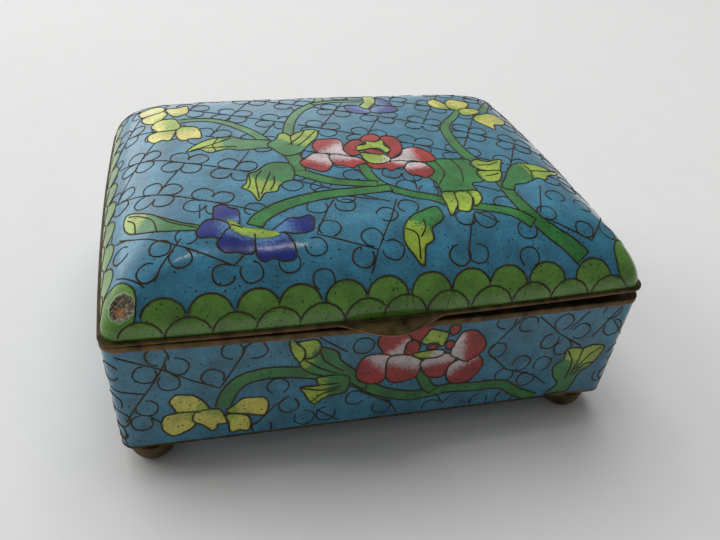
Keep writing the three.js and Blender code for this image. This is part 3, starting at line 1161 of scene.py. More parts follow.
@dataclass
class LidDrawing:
    """The lid's picture: a peony with buds and smaller flowers on one vine, inside two rows of scales."""

    form: LidForm

    def draw(self) -> Pattern:
        """The whole drawing, from the ground up."""
        pattern = Pattern()
        self.ground(pattern)
        self.vines(pattern)
        self.buds(pattern)
        self.small_flowers(pattern)
        self.peony(pattern)
        self.scales(pattern)
        return pattern

    def ground(self, pattern: Pattern) -> None:
        """The trailing ground of crossings, loops and lines that anchors the glass between the flowers."""
        across, along = (10.4, -5.7), (6.3, 12.1)
        for i in range(-9, 14):
            for j in range(-5, 9):
                x = -34.5 + i * across[0] + j * along[0]
                y = -20.5 + i * across[1] + j * along[1]
                if abs(x) > 62 or not -24 < y < 46:
                    continue
                pattern.knot(x, y)
                pattern.line((x, y), (x + across[0], y + across[1]))
                if (i + j) % 3:
                    pattern.line((x, y), (x + along[0], y + along[1]))
        for x, y, opening in ((-44.8, -33.6, None), (-39.6, -31.7, 240), (-41, -36.8, 90), (-47.6, -39, 20),
                (-33.3, -41.2, 20), (-28, -41.2, 110), (-20.6, -40, 90), (-15, -37, 140),
                (-11.5, -32.7, 250), (-25.5, -24.9, 300), (-12.8, -25.7, 60), (-6.8, -25.7, 130),
                (-6, -40.3, 60), (-3.4, -35.9, 300), (0.4, -39.2, 150), (-14.4, -44, 270),
                (1.2, -29.8, 200), (6.4, -27.6, 270), (8.2, -20.0, 300), (12.6, -22.6, 80),
                (-2.6, -14.4, 330), (-10.6, -18.3, 330), (14.1, -41.6, 60), (18.1, -41.5, 120),
                (17.6, -32.6, 50), (21.9, -33.6, 150), (27.9, -28.6, 330), (30.3, -37, 30),
                (29.3, -43.1, 260), (36.3, -32.8, 200), (43.8, -37.6, None), (41.2, -26.8, 250),
                (47.4, -29.2, 200), (50.6, -37.4, 120), (-53.6, -30, 0)):
            pattern.loop(x, y, opening)
        pattern.line((-54, -24.6), (-50, -28), (-41.5, -33.7), (-31.2, -39.6), (-29.3, -37.7))
        pattern.line((-40.6, -32), (-44.9, -38.4), (-46, -41.2))
        pattern.line((-54.6, -36.6), (-49.9, -40.4), (-48, -42.2))
        pattern.line((-36.4, -21.5), (-36.7, -26.4))
        pattern.line((-8.3, -22.7), (-10.4, -26), (-14.4, -34.1), (-5.4, -37.8), (-2.7, -38.9), (1.8, -31))
        pattern.line((-2.7, -38.9), (-4.8, -43.8))
        pattern.line((1.8, -31), (4.5, -25))
        pattern.line((16.1, -40.6), (18.2, -34.9), (20.3, -31), (24.6, -34.6))
        pattern.line((39.5, -22.4), (34.4, -33.7), (44.5, -40.6), (46.9, -38), (51.6, -32.2), (57, -26))
        pattern.line((10.8, -17), (9.9, -24))
        pattern.line((-5.6, -22.6), (0.6, -24.6))

    def vines(self, pattern: Pattern) -> None:
        """The stems, drawn before what hides their ends."""
        pattern.vine([(30.6, -20.5), (31.2, -27.9), (32.6, -33.3), (35.4, -37.6), (39.0, -41.1),
            (41.6, -44.2)], 2.6, 4.0)
        pattern.vine([(19.6, -28.8), (25, -30.4), (28.9, -32.2), (32.2, -35.4)], 2.4, 2.8)
        pattern.vine([(0.9, -9), (1.0, -14.6), (3.2, -19.6), (8.4, -23.3), (13.2, -25.4), (16.4, -28.6)],
            2.6, 2.4)
        pattern.vine([(-26.2, -30.4), (-24.8, -28.0), (-21, -25.1), (-16, -22.9), (-9.5, -21.4),
            (-3, -21.0), (4.5, -20.4)], 3.4, 2.6)
        pattern.vine([(-15.4, -10.6), (-12, -13.6), (-7.6, -16.4), (-3.4, -17.6), (2, -18.6)], 3.2, 2.2)
        pattern.vine([(-18, 4), (-15.4, -1), (-14.2, -6.5), (-14.4, -11.5)], 3.6, 3.4)
        pattern.vine([(-19.6, 4), (-22, 9.3), (-24.7, 13.3), (-28, 16.9), (-31.5, 19.3), (-36, 20.2),
            (-39.6, 20)], 2.6, 1.9)
        pattern.vine([(-14.2, 5), (-12.7, 12.7), (-10.7, 18.3), (-8, 23.3), (-4.4, 27.2), (-1.6, 31),
            (-1, 37)], 2.6, 2.2)
        pattern.vine([(-4, 28), (2, 29.6), (10.6, 29.4)], 2.0, 1.8)
        pattern.vine([(27.6, -9.5), (26.3, -4), (26.2, 3), (27, 8.3), (29.2, 12), (32, 15.4), (35, 19.8)],
            3.2, 1.9)
        pattern.vine([(42, 19.5), (44.6, 23.6), (48, 29.5)], 2.4, 1.4)

    def buds(self, pattern: Pattern) -> None:
        """The leafy buds along the vines, each a green calyx whose tips turn lime."""
        leaf, lime = Glaze.LEAF, Glaze.LIME
        pattern.shape([(-36.8, -28.9), (-40.4, -27.0), (-43.5, -24.6), (-47.4, -20.6), (-52, -17.2),
            (-52.9, -20.5), (-51.8, -24), (-49.4, -26.4), (-45, -28.6), (-40.6, -29.7), (-37.2, -30.2)],
            leaf, lime, (-47.6, -24), (-49.6, -22))
        pattern.veins([(-51.6, -18.2), (-48.6, -20.8), (-46, -24.2), (-45.2, -28.4)],
            [(-51.9, -19.4), (-50.2, -22), (-49.9, -26)], [(-46, -21.8), (-42.5, -26.4), (-37.4, -29.4)])
        pattern.shape([(-15.8, -8), (-18, -6.9), (-20.8, -7.3), (-23.4, -10), (-25.4, -11), (-26.2, -14.7),
            (-27.3, -16.4), (-25.6, -18.4), (-24.4, -22), (-22.8, -19.4), (-20.2, -18.9), (-19.3, -16.8),
            (-17.8, -15.4), (-16, -14.6), (-15.2, -11)], leaf, lime, (-22, -12.4), (-23.6, -15.6))
        pattern.veins([(-22.4, -10), (-24, -13.4), (-24.2, -21)],
            [(-20.6, -11), (-22, -15), (-23.6, -19.6)], [(-20, -12.6), (-20.3, -15.6), (-21.6, -18.4)],
            [(-25.3, -11.4), (-25.4, -15), (-26.2, -17)])
        pattern.shape([(-18.4, 4.2), (-21.8, 5.4), (-24.7, 6.4), (-27.3, 8.2), (-31, 8.2), (-33.6, 7.4),
            (-36.2, 5.3), (-38, 2.5), (-35, 3.0), (-32.8, 0.8), (-29, 1.8), (-25.6, 0.4), (-21, 0.6),
            (-18.4, 0.6)], leaf, lime, (-28.4, 4.6), (-31.2, 4.2))
        pattern.veins([(-27.6, 7.6), (-31.5, 5.2), (-37, 2.9)], [(-26.6, 2.6), (-31, 3.2), (-35.5, 3.6)],
            [(-30.6, 7.8), (-32, 4.4), (-31.4, 1.6)])
        pattern.shape([(-19.4, 2.4), (-18.2, -0.8), (-16.2, -4), (-13.2, -3.6), (-11.4, -1.6), (-9.4, 1.6),
            (-7.2, 4.7), (-6.4, 8.8), (-9, 9.4), (-12.2, 7.4), (-13.4, 6.4), (-14.4, 8), (-16, 7.6),
            (-17, 5)], leaf, lime, (-14.4, 1.4), (-12.2, 4.2))
        pattern.veins([(-13.8, 1), (-13.4, 6.6)], [(-12.6, 0.4), (-9.8, 4), (-7, 8.4)],
            [(-14.4, 1.6), (-11.2, 5.6), (-9.6, 8.8)])
        pattern.shape([(15, -12), (17.6, -9.4), (22, -9.4), (26.6, -10), (27, -15), (26.4, -19.8),
            (23.6, -20.6), (23.4, -24.4), (19.4, -25), (15.6, -24), (15.4, -20), (14, -16)], leaf)
        pattern.shape([(26.2, -12.2), (28.2, -9.9), (31, -10.9), (34.8, -9.9), (33.6, -13.2), (32.2, -15.6),
            (29, -15.2), (27.2, -14.2)], leaf, lime, (26.4, -12.4), (28, -12.2))
        pattern.shape([(26.6, -15.4), (29.2, -15.3), (32.4, -15.5), (31.8, -18), (30.2, -20), (27.4, -20.2),
            (26.4, -18)], leaf, lime, (26.2, -17), (28, -17))
        pattern.veins([(22.2, -9.6), (23, -14), (21.8, -19.6)], [(18, -10), (18.6, -15.4), (16, -20)],
            [(28, -12.6), (31, -12.4), (33.6, -11)], [(28, -17.6), (30, -17.2), (31.6, -16.6)])
        pattern.shape([(15.2, -23.6), (18.6, -23.6), (18.4, -26), (17.2, -28.6), (14.8, -31.8),
            (14.9, -28)], leaf, lime, (16.8, -23), (16.6, -25))
        pattern.shape([(18.4, -23.6), (21.6, -23.8), (21.4, -26.4), (20.4, -29), (19.2, -30.8), (17, -30.2),
            (17.6, -27.6)], leaf, lime, (20, -23), (19.8, -25))
        pattern.shape([(21.4, -23.4), (23.6, -23.8), (23.6, -26.6), (22, -28.6), (20.8, -29.2),
            (21.6, -26.4)], leaf, lime, (22.6, -23), (22.4, -25))
        pattern.shape([(30, -22.4), (32.4, -18.6), (35.4, -14), (38.6, -11.5), (42.4, -12.0), (45.6, -12.8),
            (46.4, -14.0), (49.8, -12.2), (48, -15), (44.6, -16.9), (42.4, -19.6), (40.8, -18.8),
            (38.6, -20), (36, -21.4), (33.6, -21.8), (32.2, -24)], leaf, lime, (38.6, -15.6), (41, -15.2))
        pattern.veins([(40, -12.2), (40.4, -15.4), (39.2, -19)],
            [(40.4, -15.4), (44.4, -15), (48.6, -13.2)])
        pattern.shape([(12.4, -28.4), (12.7, -32.4), (9.6, -34.9), (9.3, -37.6), (7.2, -39.2), (6.1, -43.2),
            (4.3, -40.6), (3.0, -37.6), (3.8, -34.1), (5.9, -31.2), (8.6, -29.6)], leaf, lime, (8.8, -33),
            (7, -35.6))
        pattern.veins([(4.0, -34.4), (6, -36), (5.9, -39.2), (5.6, -41.6)],
            [(8.4, -32.2), (8.2, -34.6), (6.8, -36.8)])

    def small_flowers(self, pattern: Pattern) -> None:
        """The cobalt flower at the front and the smaller ones behind."""
        pale, cobalt, lime, yellow = Glaze.PALE_BLUE, Glaze.COBALT, Glaze.LIME, Glaze.YELLOW
        for points, start, end in (([(-31.4, -29.4), (-34, -27.4), (-33.9, -24.6), (-33.6, -22.8),
                (-31.8, -22.2), (-30.6, -23.6), (-29.0, -24.6), (-28.9, -27.4), (-29.4, -29.8)],
                (-30.6, -29.4), (-31.6, -25.8)),
                ([(-31.2, -29.4), (-33.4, -27.2), (-35.6, -27.4), (-36.8, -29), (-37.7, -31), (-37, -32.6),
                (-35, -32.6), (-33, -33.2), (-31.8, -32)], (-31, -30.2), (-35, -30.4)),
                ([(-31.2, -30.6), (-33, -32.8), (-34, -34.6), (-32.6, -36.6), (-30.2, -36.8),
                (-28.8, -37.4), (-27, -37), (-26.8, -34), (-27.4, -31.6)], (-29, -31), (-30.6, -34.8)),
                ([(-26.6, -32), (-26.7, -35), (-26.6, -38), (-25.4, -39.4), (-23.6, -38.8), (-21.8, -39.6),
                (-19.4, -39.3), (-19, -37), (-20.0, -33.8), (-22, -32.6)], (-23.6, -32.8), (-22.8, -37)),
                ([(-23, -32.4), (-21.2, -30.6), (-19.2, -28.8), (-17, -28.9), (-15, -28.2), (-14.1, -29.4),
                (-14.5, -31.6), (-15.4, -33.2), (-18.4, -33.5), (-20.8, -33)], (-22, -32), (-16.6, -30.6))):
            pattern.shape(points, pale, cobalt, start, end)
        pattern.shape([(-31.3, -27.6), (-30.0, -28.4), (-28.6, -30.4), (-25, -31.6), (-21.6, -33.2),
            (-24, -34.2), (-27, -33.9), (-29.4, -32.6), (-30.8, -30.8)], lime, pale, (-26.6, -32),
            (-27.6, -35.2), wired=False)
        pattern.veins([(-26.5, -32.8), (-26.7, -36)], [(-30.8, -29.4), (-28.6, -30.8)])
        for points, start, end in (([(-44, 15.9), (-46.9, 15.3), (-46.8, 12.3), (-45.2, 10.2),
                (-43.4, 10.6), (-41.8, 9.8), (-40.6, 12.7), (-40.4, 15.4)], (-42, 16), (-43.6, 13)),
                ([(-39.8, 16), (-40.1, 11.6), (-38.8, 8.8), (-36.8, 9.4), (-34.6, 9), (-34.2, 11.6),
                (-35, 15.3), (-37.6, 16.6)], (-38.6, 16.2), (-37.4, 12.6)),
                ([(-48.8, 27.6), (-48.2, 24.4), (-46, 21.8), (-43.8, 22.2), (-42, 25.7), (-43.2, 28.4),
                (-46, 28)], (-43.6, 23), (-46, 25)),
                ([(-42.2, 29.8), (-41.8, 26.6), (-40.2, 23.4), (-37, 25.2), (-36.6, 28.4), (-37, 30.6),
                (-39.4, 29.6)], (-40, 24), (-39, 27)),
                ([(-49.8, 33), (-48.8, 28.8), (-45.8, 27.8), (-42.8, 28.8), (-43.2, 32.6), (-46, 34.6)],
                (-44, 28), (-46.4, 31)),
                ([(28, 25), (29, 22), (32.3, 20.6), (33.2, 23), (32, 27), (30.7, 28.8), (28.7, 27.4)],
                (32.6, 21.6), (30.6, 24.4)),
                ([(33.5, 26.4), (36, 28.4), (39.9, 25.8), (38.4, 22.3), (35.3, 20), (33, 21.8)], (35.2, 21),
                (36, 25)), ([(37.2, 13.6), (38.7, 10.7), (41, 7.8), (42, 10.7), (44.9, 11.6), (47.5, 15.3),
                (47, 18.2), (44, 18.9), (40.7, 17.5), (38.6, 16.4)], (39.6, 17.4), (42.6, 14))):
            pattern.shape(points, lime, yellow, start, end)
        pattern.shape([(-46.2, 20.2), (-45.3, 17.7), (-44.2, 15.9), (-40.3, 15.4), (-38.9, 17), (-39.5, 20),
            (-40.3, 22), (-44, 22.4)], lime, yellow, (-41, 19), (-45, 18.6))
        pattern.shape([(35.4, 20.4), (35.2, 16.6), (38, 17), (41.2, 19.3), (39.4, 21.6)], lime, yellow,
            (36, 18), (40, 20))
        for points, start, end in (([(4.6, 25.6), (4.2, 21.8), (6.4, 19.2), (9.8, 19.2), (10.4, 22.4),
                (8, 25)], (9.6, 23.6), (6, 21)),
                ([(10.6, 19.6), (14.6, 18.9), (17.9, 20.6), (17.4, 24.2), (13.6, 24.6), (11, 22.8)],
                (11.6, 23.4), (15.6, 21)),
                ([(13.4, 25.4), (17.2, 24.6), (17.2, 28.5), (15.6, 31.6), (13.6, 30)], (13.4, 27),
                (16, 28))):
            pattern.shape(points, pale, cobalt, start, end)
        pattern.shape([(9.8, 22.4), (11.9, 25), (13.8, 28.6), (14.2, 34), (11.4, 34), (10.4, 28.4),
            (8.4, 24.8)], lime)

    def peony(self, pattern: Pattern) -> None:
        """The red peony, white at the heart of each petal, with a lime seed head."""
        white, red, lime = Glaze.WHITE, Glaze.RED, Glaze.LIME
        for points, start, end in (([(-1.4, -6.2), (-4.6, -5), (-6.4, -4), (-8.0, -3.8), (-9.1, -1.4),
                (-8.9, 1.2), (-7.2, 3.3), (-4.8, 3.6), (-2.6, 3.5), (-1.7, 1.6), (-1.9, -1.6)],
                (-3.4, -2.6), (-6.6, 1.2)),
                ([(-6.2, -4.6), (-9.4, -3.7), (-11.6, -5.6), (-13.3, -7.4), (-12.8, -9.6), (-11, -11),
                (-8.8, -12.3), (-6.9, -10.8), (-6, -8.4)], (-8.0, -5.6), (-10.4, -9.6)),
                ([(-4.2, -4.6), (-6, -5), (-6.2, -7.4), (-5.4, -9.6), (-3.6, -10.3), (-2, -11.4),
                (-0.4, -10.2), (1.8, -9.4), (0.6, -7), (-1.6, -6)], (-2.6, -5.6), (-2.8, -9)),
                ([(7.6, -8.8), (10.4, -6.8), (12, -4), (13.8, -3.1), (15.4, -2.9), (17.4, -4.8),
                (18.6, -7.6), (18.2, -10), (15, -10.4), (12.4, -9.6), (9.6, -10.4)], (11.8, -6.8),
                (16, -7)), ([(1.8, -9.6), (2, -11), (3.4, -12.5), (5.4, -12.4), (6.6, -13.6), (8.2, -12.6),
                (10.2, -12), (11.6, -10.2), (9.4, -9.2), (5, -9.8)], (8.6, -8.6), (7.4, -11.4)),
                ([(11.2, -10.6), (9.9, -13), (10.6, -15.7), (12.2, -16.3), (13.6, -17.3), (15.4, -16.2),
                (16.5, -14), (15.2, -11), (13.2, -10.2)], (12.8, -11), (13.4, -14.4))):
            pattern.shape(points, white, red, start, end)
        for points in ([(3, 2.4), (4.2, 4.2), (6.2, 5.3), (8, 4.2), (7.6, 1.8), (5.4, 0.4), (3.4, 0.6)],
                [(-2.2, -3.2), (-1.7, -1), (0.1, 1.6), (2.4, 2.6), (3.4, 0.6), (1.6, -1), (1.2, -3),
                (1.5, -5), (-0.8, -5.7)],
                [(8.2, 3), (10, 3.8), (12.1, 2.5), (12.3, -2.4), (10.8, -5.8), (7.6, -8.2), (7.6, -6.2),
                (9, -3.5), (8.6, -0.5)]):
            pattern.shape(points, red)
        pattern.shape([(0.9, -3.2), (1.6, -0.9), (3.6, -0.4), (4.4, 1.7), (6, 0.7), (8.4, 1.5), (8.2, -1.2),
            (9, -3.6), (7.6, -5.2), (6.6, -3), (4.4, -2.6), (3, -3)], lime)
        pattern.shape([(1.4, -4.8), (4, -5.2), (6.9, -5.8), (7.8, -8.6), (5, -10.2), (2.2, -9.2)], lime,
            white, (5, -6), (9, -9.6))
        pattern.shape([(2.4, -3.6), (4.4, -2.7), (6.5, -4.2), (6.7, -5.8), (4.4, -5.4)], red)

    def scales(self, pattern: Pattern) -> None:
        """Two rows of overlapping scales round the rim, the lower over the upper, and one at each corner."""
        outline = self.form.outline()
        reach_x = outline.half_x + outline.bow
        reach_y = outline.half_y + outline.bow
        front_upper = (-44.9, -36.3, -27.3, -19.3, -10.3, -1.9, 7.2, 15.8, 24.0, 32.8, 43.7)
        front_lower = (-49.4, -40.6, -31.8, -23.6, -15.2, -6.2, 1.6, 10.7, 20.3, 29.5, 38.3, 48.0)
        side_upper = tuple(np.linspace(-33.5, 33.5, 9))
        side_lower = tuple(np.linspace(-37.5, 37.5, 10))
        rows = (
            (0, front_upper, front_lower, reach_y),
            (1, side_upper, side_lower, reach_x),
            (2, front_upper, front_lower, reach_y),
            (3, side_upper, side_lower, reach_x),
        )
        for side, upper, lower, reach in rows:
            for along in upper:
                self.scale(pattern, side, along, reach, 8.6, 8.3)
        for sign_x, sign_y in ((-1, -1), (1, -1), (1, 1), (-1, 1)):
            middle = np.array([sign_x * (reach_x - 7.2), sign_y * (reach_y - 7.6)])
            t = np.linspace(0, 2 * math.pi, 30, endpoint=False)
            pattern.fill(middle + 7.6 * np.column_stack([np.cos(t), np.sin(t)]), Glaze.SCALE)
        for side, upper, lower, reach in rows:
            for along in lower:
                self.scale(pattern, side, along, reach, 4.5, 9.0)

    def scale(self, pattern: Pattern, side: int, along: float, reach: float, tall: float,
            wide: float) -> None:
        """One scale that stands on the rim.

        Args:
            pattern: the drawing.
            side: 0 front, 1 right, 2 back, 3 left.
            along: its middle along that side.
            reach: the rim's distance from the middle of the lid.
            tall: its height above the rim.
            wide: its width.
        """
        t = np.linspace(0, math.pi, 16)
        crown = min(tall, wide / 2)
        arch_a = along + wide / 2 * np.cos(t)
        arch_b = reach - tall + crown - crown * np.sin(t)
        foot_a = along + wide / 2 * np.array([-0.72, 0.72])
        foot_b = np.array([reach + 1.0, reach + 1.0])
        a = np.concatenate([arch_a, foot_a])
        b = np.concatenate([arch_b, foot_b])
        quarter = math.radians(90) * side
        x = a * math.cos(quarter) + b * math.sin(quarter)
        y = a * math.sin(quarter) - b * math.cos(quarter)
        pattern.fill(np.column_stack([x, y]), Glaze.SCALE)


@dataclass
class Chip:
    """The bite broken out of the enamel at the lid's front left corner, down to the copper."""

    x: float = -53.3
    y: float = -44.7
    z: float = 8.9
    radius: float = 4.4
    rough: float = 0.22

    def depth(self, points: np.ndarray) -> np.ndarray:
        """How far inside the bite each of the lid's points lies, in millimetres."""
        ripple = np.sin(points[:, 0] * 3.1 + 1.3) * np.cos(points[:, 1] * 2.7) * np.sin(points[:, 2] * 3.3)
        return self.radius + self.rough * ripple - np.linalg.norm(points - [self.x, self.y, self.z], axis=1)

    def scoop(self, points: np.ndarray) -> tuple[np.ndarray, np.ndarray, np.ndarray]:
        """Presses the points in the bite down to its broken face.

        Args:
            points: the lid's points.

        Returns:
            The moved points, how bare each is, and how much copper shows.
        """
        away = points - [self.x, self.y, self.z]
        distance = np.linalg.norm(away, axis=1, keepdims=True)
        deep = self.depth(points)
        shard = 0.16 * np.sin(points[:, 0] * 7.7) * np.sin(points[:, 1] * 6.1 + points[:, 2] * 5.0)
        floor = self.radius + shard[:, None]
        moved = np.where(deep[:, None] > 0, points + away / distance * np.maximum(floor - distance, 0),
            points)
        bare = np.clip((deep + 0.35) / 1.3, 0, 1)
        spot = np.linalg.norm(points - [-52.9, -43.3, 6.4], axis=1)
        return moved, bare, np.clip(1.5 - spot / 0.75, 0, 1)


@dataclass
class Lid:
    """The enamelled lid shell with its wires, its rim band and the thumb tab."""

    form: LidForm = field(default_factory=LidForm)
    chip: Chip = field(default_factory=Chip)
    tilt: float = math.radians(1.05)
    lift: float = 0.03
    spacing: float = 1.05
    wire_radius: float = 0.22
    wire_sunk: float = 0.1
    band_width: float = 2.2
    tab_width: float = 22.5
    tab_reach: float = 4.6
    tab_thick: float = 0.7
    tab_off_centre: float = -1.2
    tab_level: float = 0.05
    tab_lip: float = 0.15  # the share of its reach that is rounded
    tab_sag: float = 0.12

    def placement(self) -> Matrix:
        """Where the lid sits: on the seat at the left, raised a little at the right."""
        body_low, body_high = node_box("box_body")
        seat_top = node_box("seat_band")[1][2] - 2.4
        middle = (body_low + body_high) / 2
        origin = (float(middle[0]), float(middle[1]), float(seat_top) + self.lift)
        return Placement(origin, self.tilt, -self.form.width / 2).matrix()

    def wires(self, name: str, runs: Sequence[np.ndarray], grower: Grower,
            finish: bpy.types.Material) -> bpy.types.Object:
        """Sweeps wires along flat runs laid on the dome.

        Args:
            name: the piece's name.
            runs: flat runs.
            grower: the wire tree.
            finish: the wire's material.

        Returns:
            The piece.
        """
        laid = []
        for run in runs:
            points = self.form.wrap(run)
            clear = self.chip.depth(points) < -0.15
            breaks = np.flatnonzero(np.diff(clear.astype(int))) + 1
            sunk = points - surface_normals(self.form, run) * self.wire_sunk
            for part in np.split(np.arange(len(run)), breaks):
                if clear[part[0]] and len(part) > 1:
                    laid.append(sunk[part])
        seed = wire_seed(name, laid, self.placement())
        return grower.grow(seed, finish, Wire_Radius=self.wire_radius * MM)

    def enamel(self, pattern: Pattern, finish: bpy.types.Material) -> bpy.types.Object:
        """The patterned dome, its foot and its plain hollow, as one closed piece.

        Args:
            pattern: the drawing.
            finish: the enamel.

        Returns:
            The piece.
        """
        plan = self.form.outline()
        turns = np.concatenate([side + np.linspace(0, 1, n, endpoint=False) for side,
            n in zip(range(8), (96, 16, 76, 16) * 2)])
        border = plan.at(turns)
        close = np.stack(np.meshgrid(np.arange(-60, -47, 0.3), np.arange(-52, -38, 0.3)), -1).reshape(-1, 2)
        close = close[inside(close, border)]
        near_chip = self.chip.depth(self.form.wrap(close)) > -0.6
        tiling = tiled(pattern, border, self.spacing, close[near_chip])
        normals = surface_normals(self.form, tiling.points)
        laid = self.form.wrap(tiling.points)
        points, bare, copper = self.chip.scoop(laid)
        normals[self.chip.depth(laid) > -0.3] = 0.0
        skin = Skin("lid_enamel", pattern, tiling, points, normals)
        edge = rim_points(tiling)
        at = plan.turn_of(tiling.points[edge])
        order = np.argsort(at)
        foot = [(self.form.ring(self.form.wall), self.form.foot)]
        inner = [self.form.inner(inward)
            for inward in (0.15, 0.5, 1.0, 2.0, 3.5, 5.5, 8.0, 11.0, 15.0, 22.0, 30.0, 38.0, 43.0)]
        skin.close(edge[order], at[order], foot + inner)
        made = skin.build(self.placement(), Glaze.SKY, {"bare": bare, "copper": copper})
        made.data.materials.append(finish)
        return made

    def band(self, grower: Grower, finish: bpy.types.Material) -> bpy.types.Object:
        """The soldered strip round the foot of the lid, bright along its lower edge."""
        seed = ring_seed("lid_rim_band", self.form.rim(self.band_width / 2), 0.385, self.placement())
        made = grower.grow(seed, finish, Width=self.band_width * MM, Height=0.77 * MM, Rounding=0.22 * MM)
        local = placed(points_of(made) * MM, self.placement().inverted())
        set_share(made, "wear", np.clip(1.2 - local[:, 2] / 0.22, 0, 1))
        return made

    def tab(self, finish: bpy.types.Material) -> bpy.types.Object:
        """The crescent lip that the thumb lifts, thin and rounded at its edge."""
        stations = np.linspace(0.012, 0.988, 57)
        x = self.tab_off_centre + (stations - 0.5) * self.tab_width
        front = -self.form.depth / 2 - self.form.side_bow * (1
            - (x / (self.form.width / 2 - RIM_CORNER)) ** 2) - 0.03
        reach = self.tab_reach * np.sin(math.pi * stations) ** 1.3
        half = self.tab_thick / 2
        flat = 1 - self.tab_lip
        t = np.radians(np.linspace(90, -90, 9))
        profile_out = np.concatenate([np.linspace(0, flat, 6), 1 - self.tab_lip * (1 - np.cos(t)),
            np.linspace(flat, 0, 6)])
        profile_up = np.concatenate([np.full(6, half), half * np.sin(t), np.full(6, -half)])
        rows = []
        for i in range(len(x)):
            lip = min(reach[i], half)
            out = np.where(profile_out > flat, reach[i] - lip + lip * (profile_out - flat) / self.tab_lip,
                profile_out / flat * (reach[i] - lip))
            sag = -self.tab_sag * (out / self.tab_reach) ** 2
            rows.append(np.column_stack([np.full(len(out), x[i]), front[i] - out,
                self.tab_level + half + profile_up + sag]))
        count = len(rows[0])
        faces = []
        for i in range(len(rows) - 1):
            for j in range(count):
                k = (j + 1) % count
                faces.append((i * count + j, i * count + k, (i + 1) * count + k, (i + 1) * count + j))
        faces.append(tuple(range(count))[::-1])
        faces.append(tuple((len(rows) - 1) * count + j for j in range(count)))
        made = plain_mesh("thumb_tab_lip", np.vstack(rows), faces, self.placement())
        made.data.materials.append(finish)
        share = np.tile(np.clip((profile_out - 0.9) / 0.08, 0, 1) * (profile_up < 0.12), len(rows))
        set_share(made, "wear", share)
        outward_faces(made)
        return made


def outward_faces(made: bpy.types.Object) -> None:
    """Turns a closed mesh's faces outward."""
    work = bmesh.new()
    work.from_mesh(made.data)
    bmesh.ops.remove_doubles(work, verts=work.verts, dist=1e-7)
    bmesh.ops.recalc_face_normals(work, faces=work.faces)
    work.to_mesh(made.data)
    work.free()


def rim_points(tiling: Tiling) -> np.ndarray:
    """The points on a tiling's open edge."""
    tris = tiling.triangles
    edges = np.vstack([tris[:, [0, 1]], tris[:, [1, 2]], tris[:, [2, 0]]])
    pairs, counts = np.unique(np.sort(edges, axis=1), axis=0, return_counts=True)
    return np.unique(pairs[counts == 1])


# ---------------------------------------------------------------- the tray


@dataclass(frozen=True)
class Side:
    """One side of the tray, as a place to draw on: x from its middle, z up from the underside."""

    middle: float
    way: int

    def __call__(self, x: float, z: float) -> Point:
        """That place along the walls."""
        return (self.middle + self.way * x, z)

    def all(self, *points: Point) -> list[Point]:
        """Those places along the walls."""
        return [self(x, z) for x, z in points]


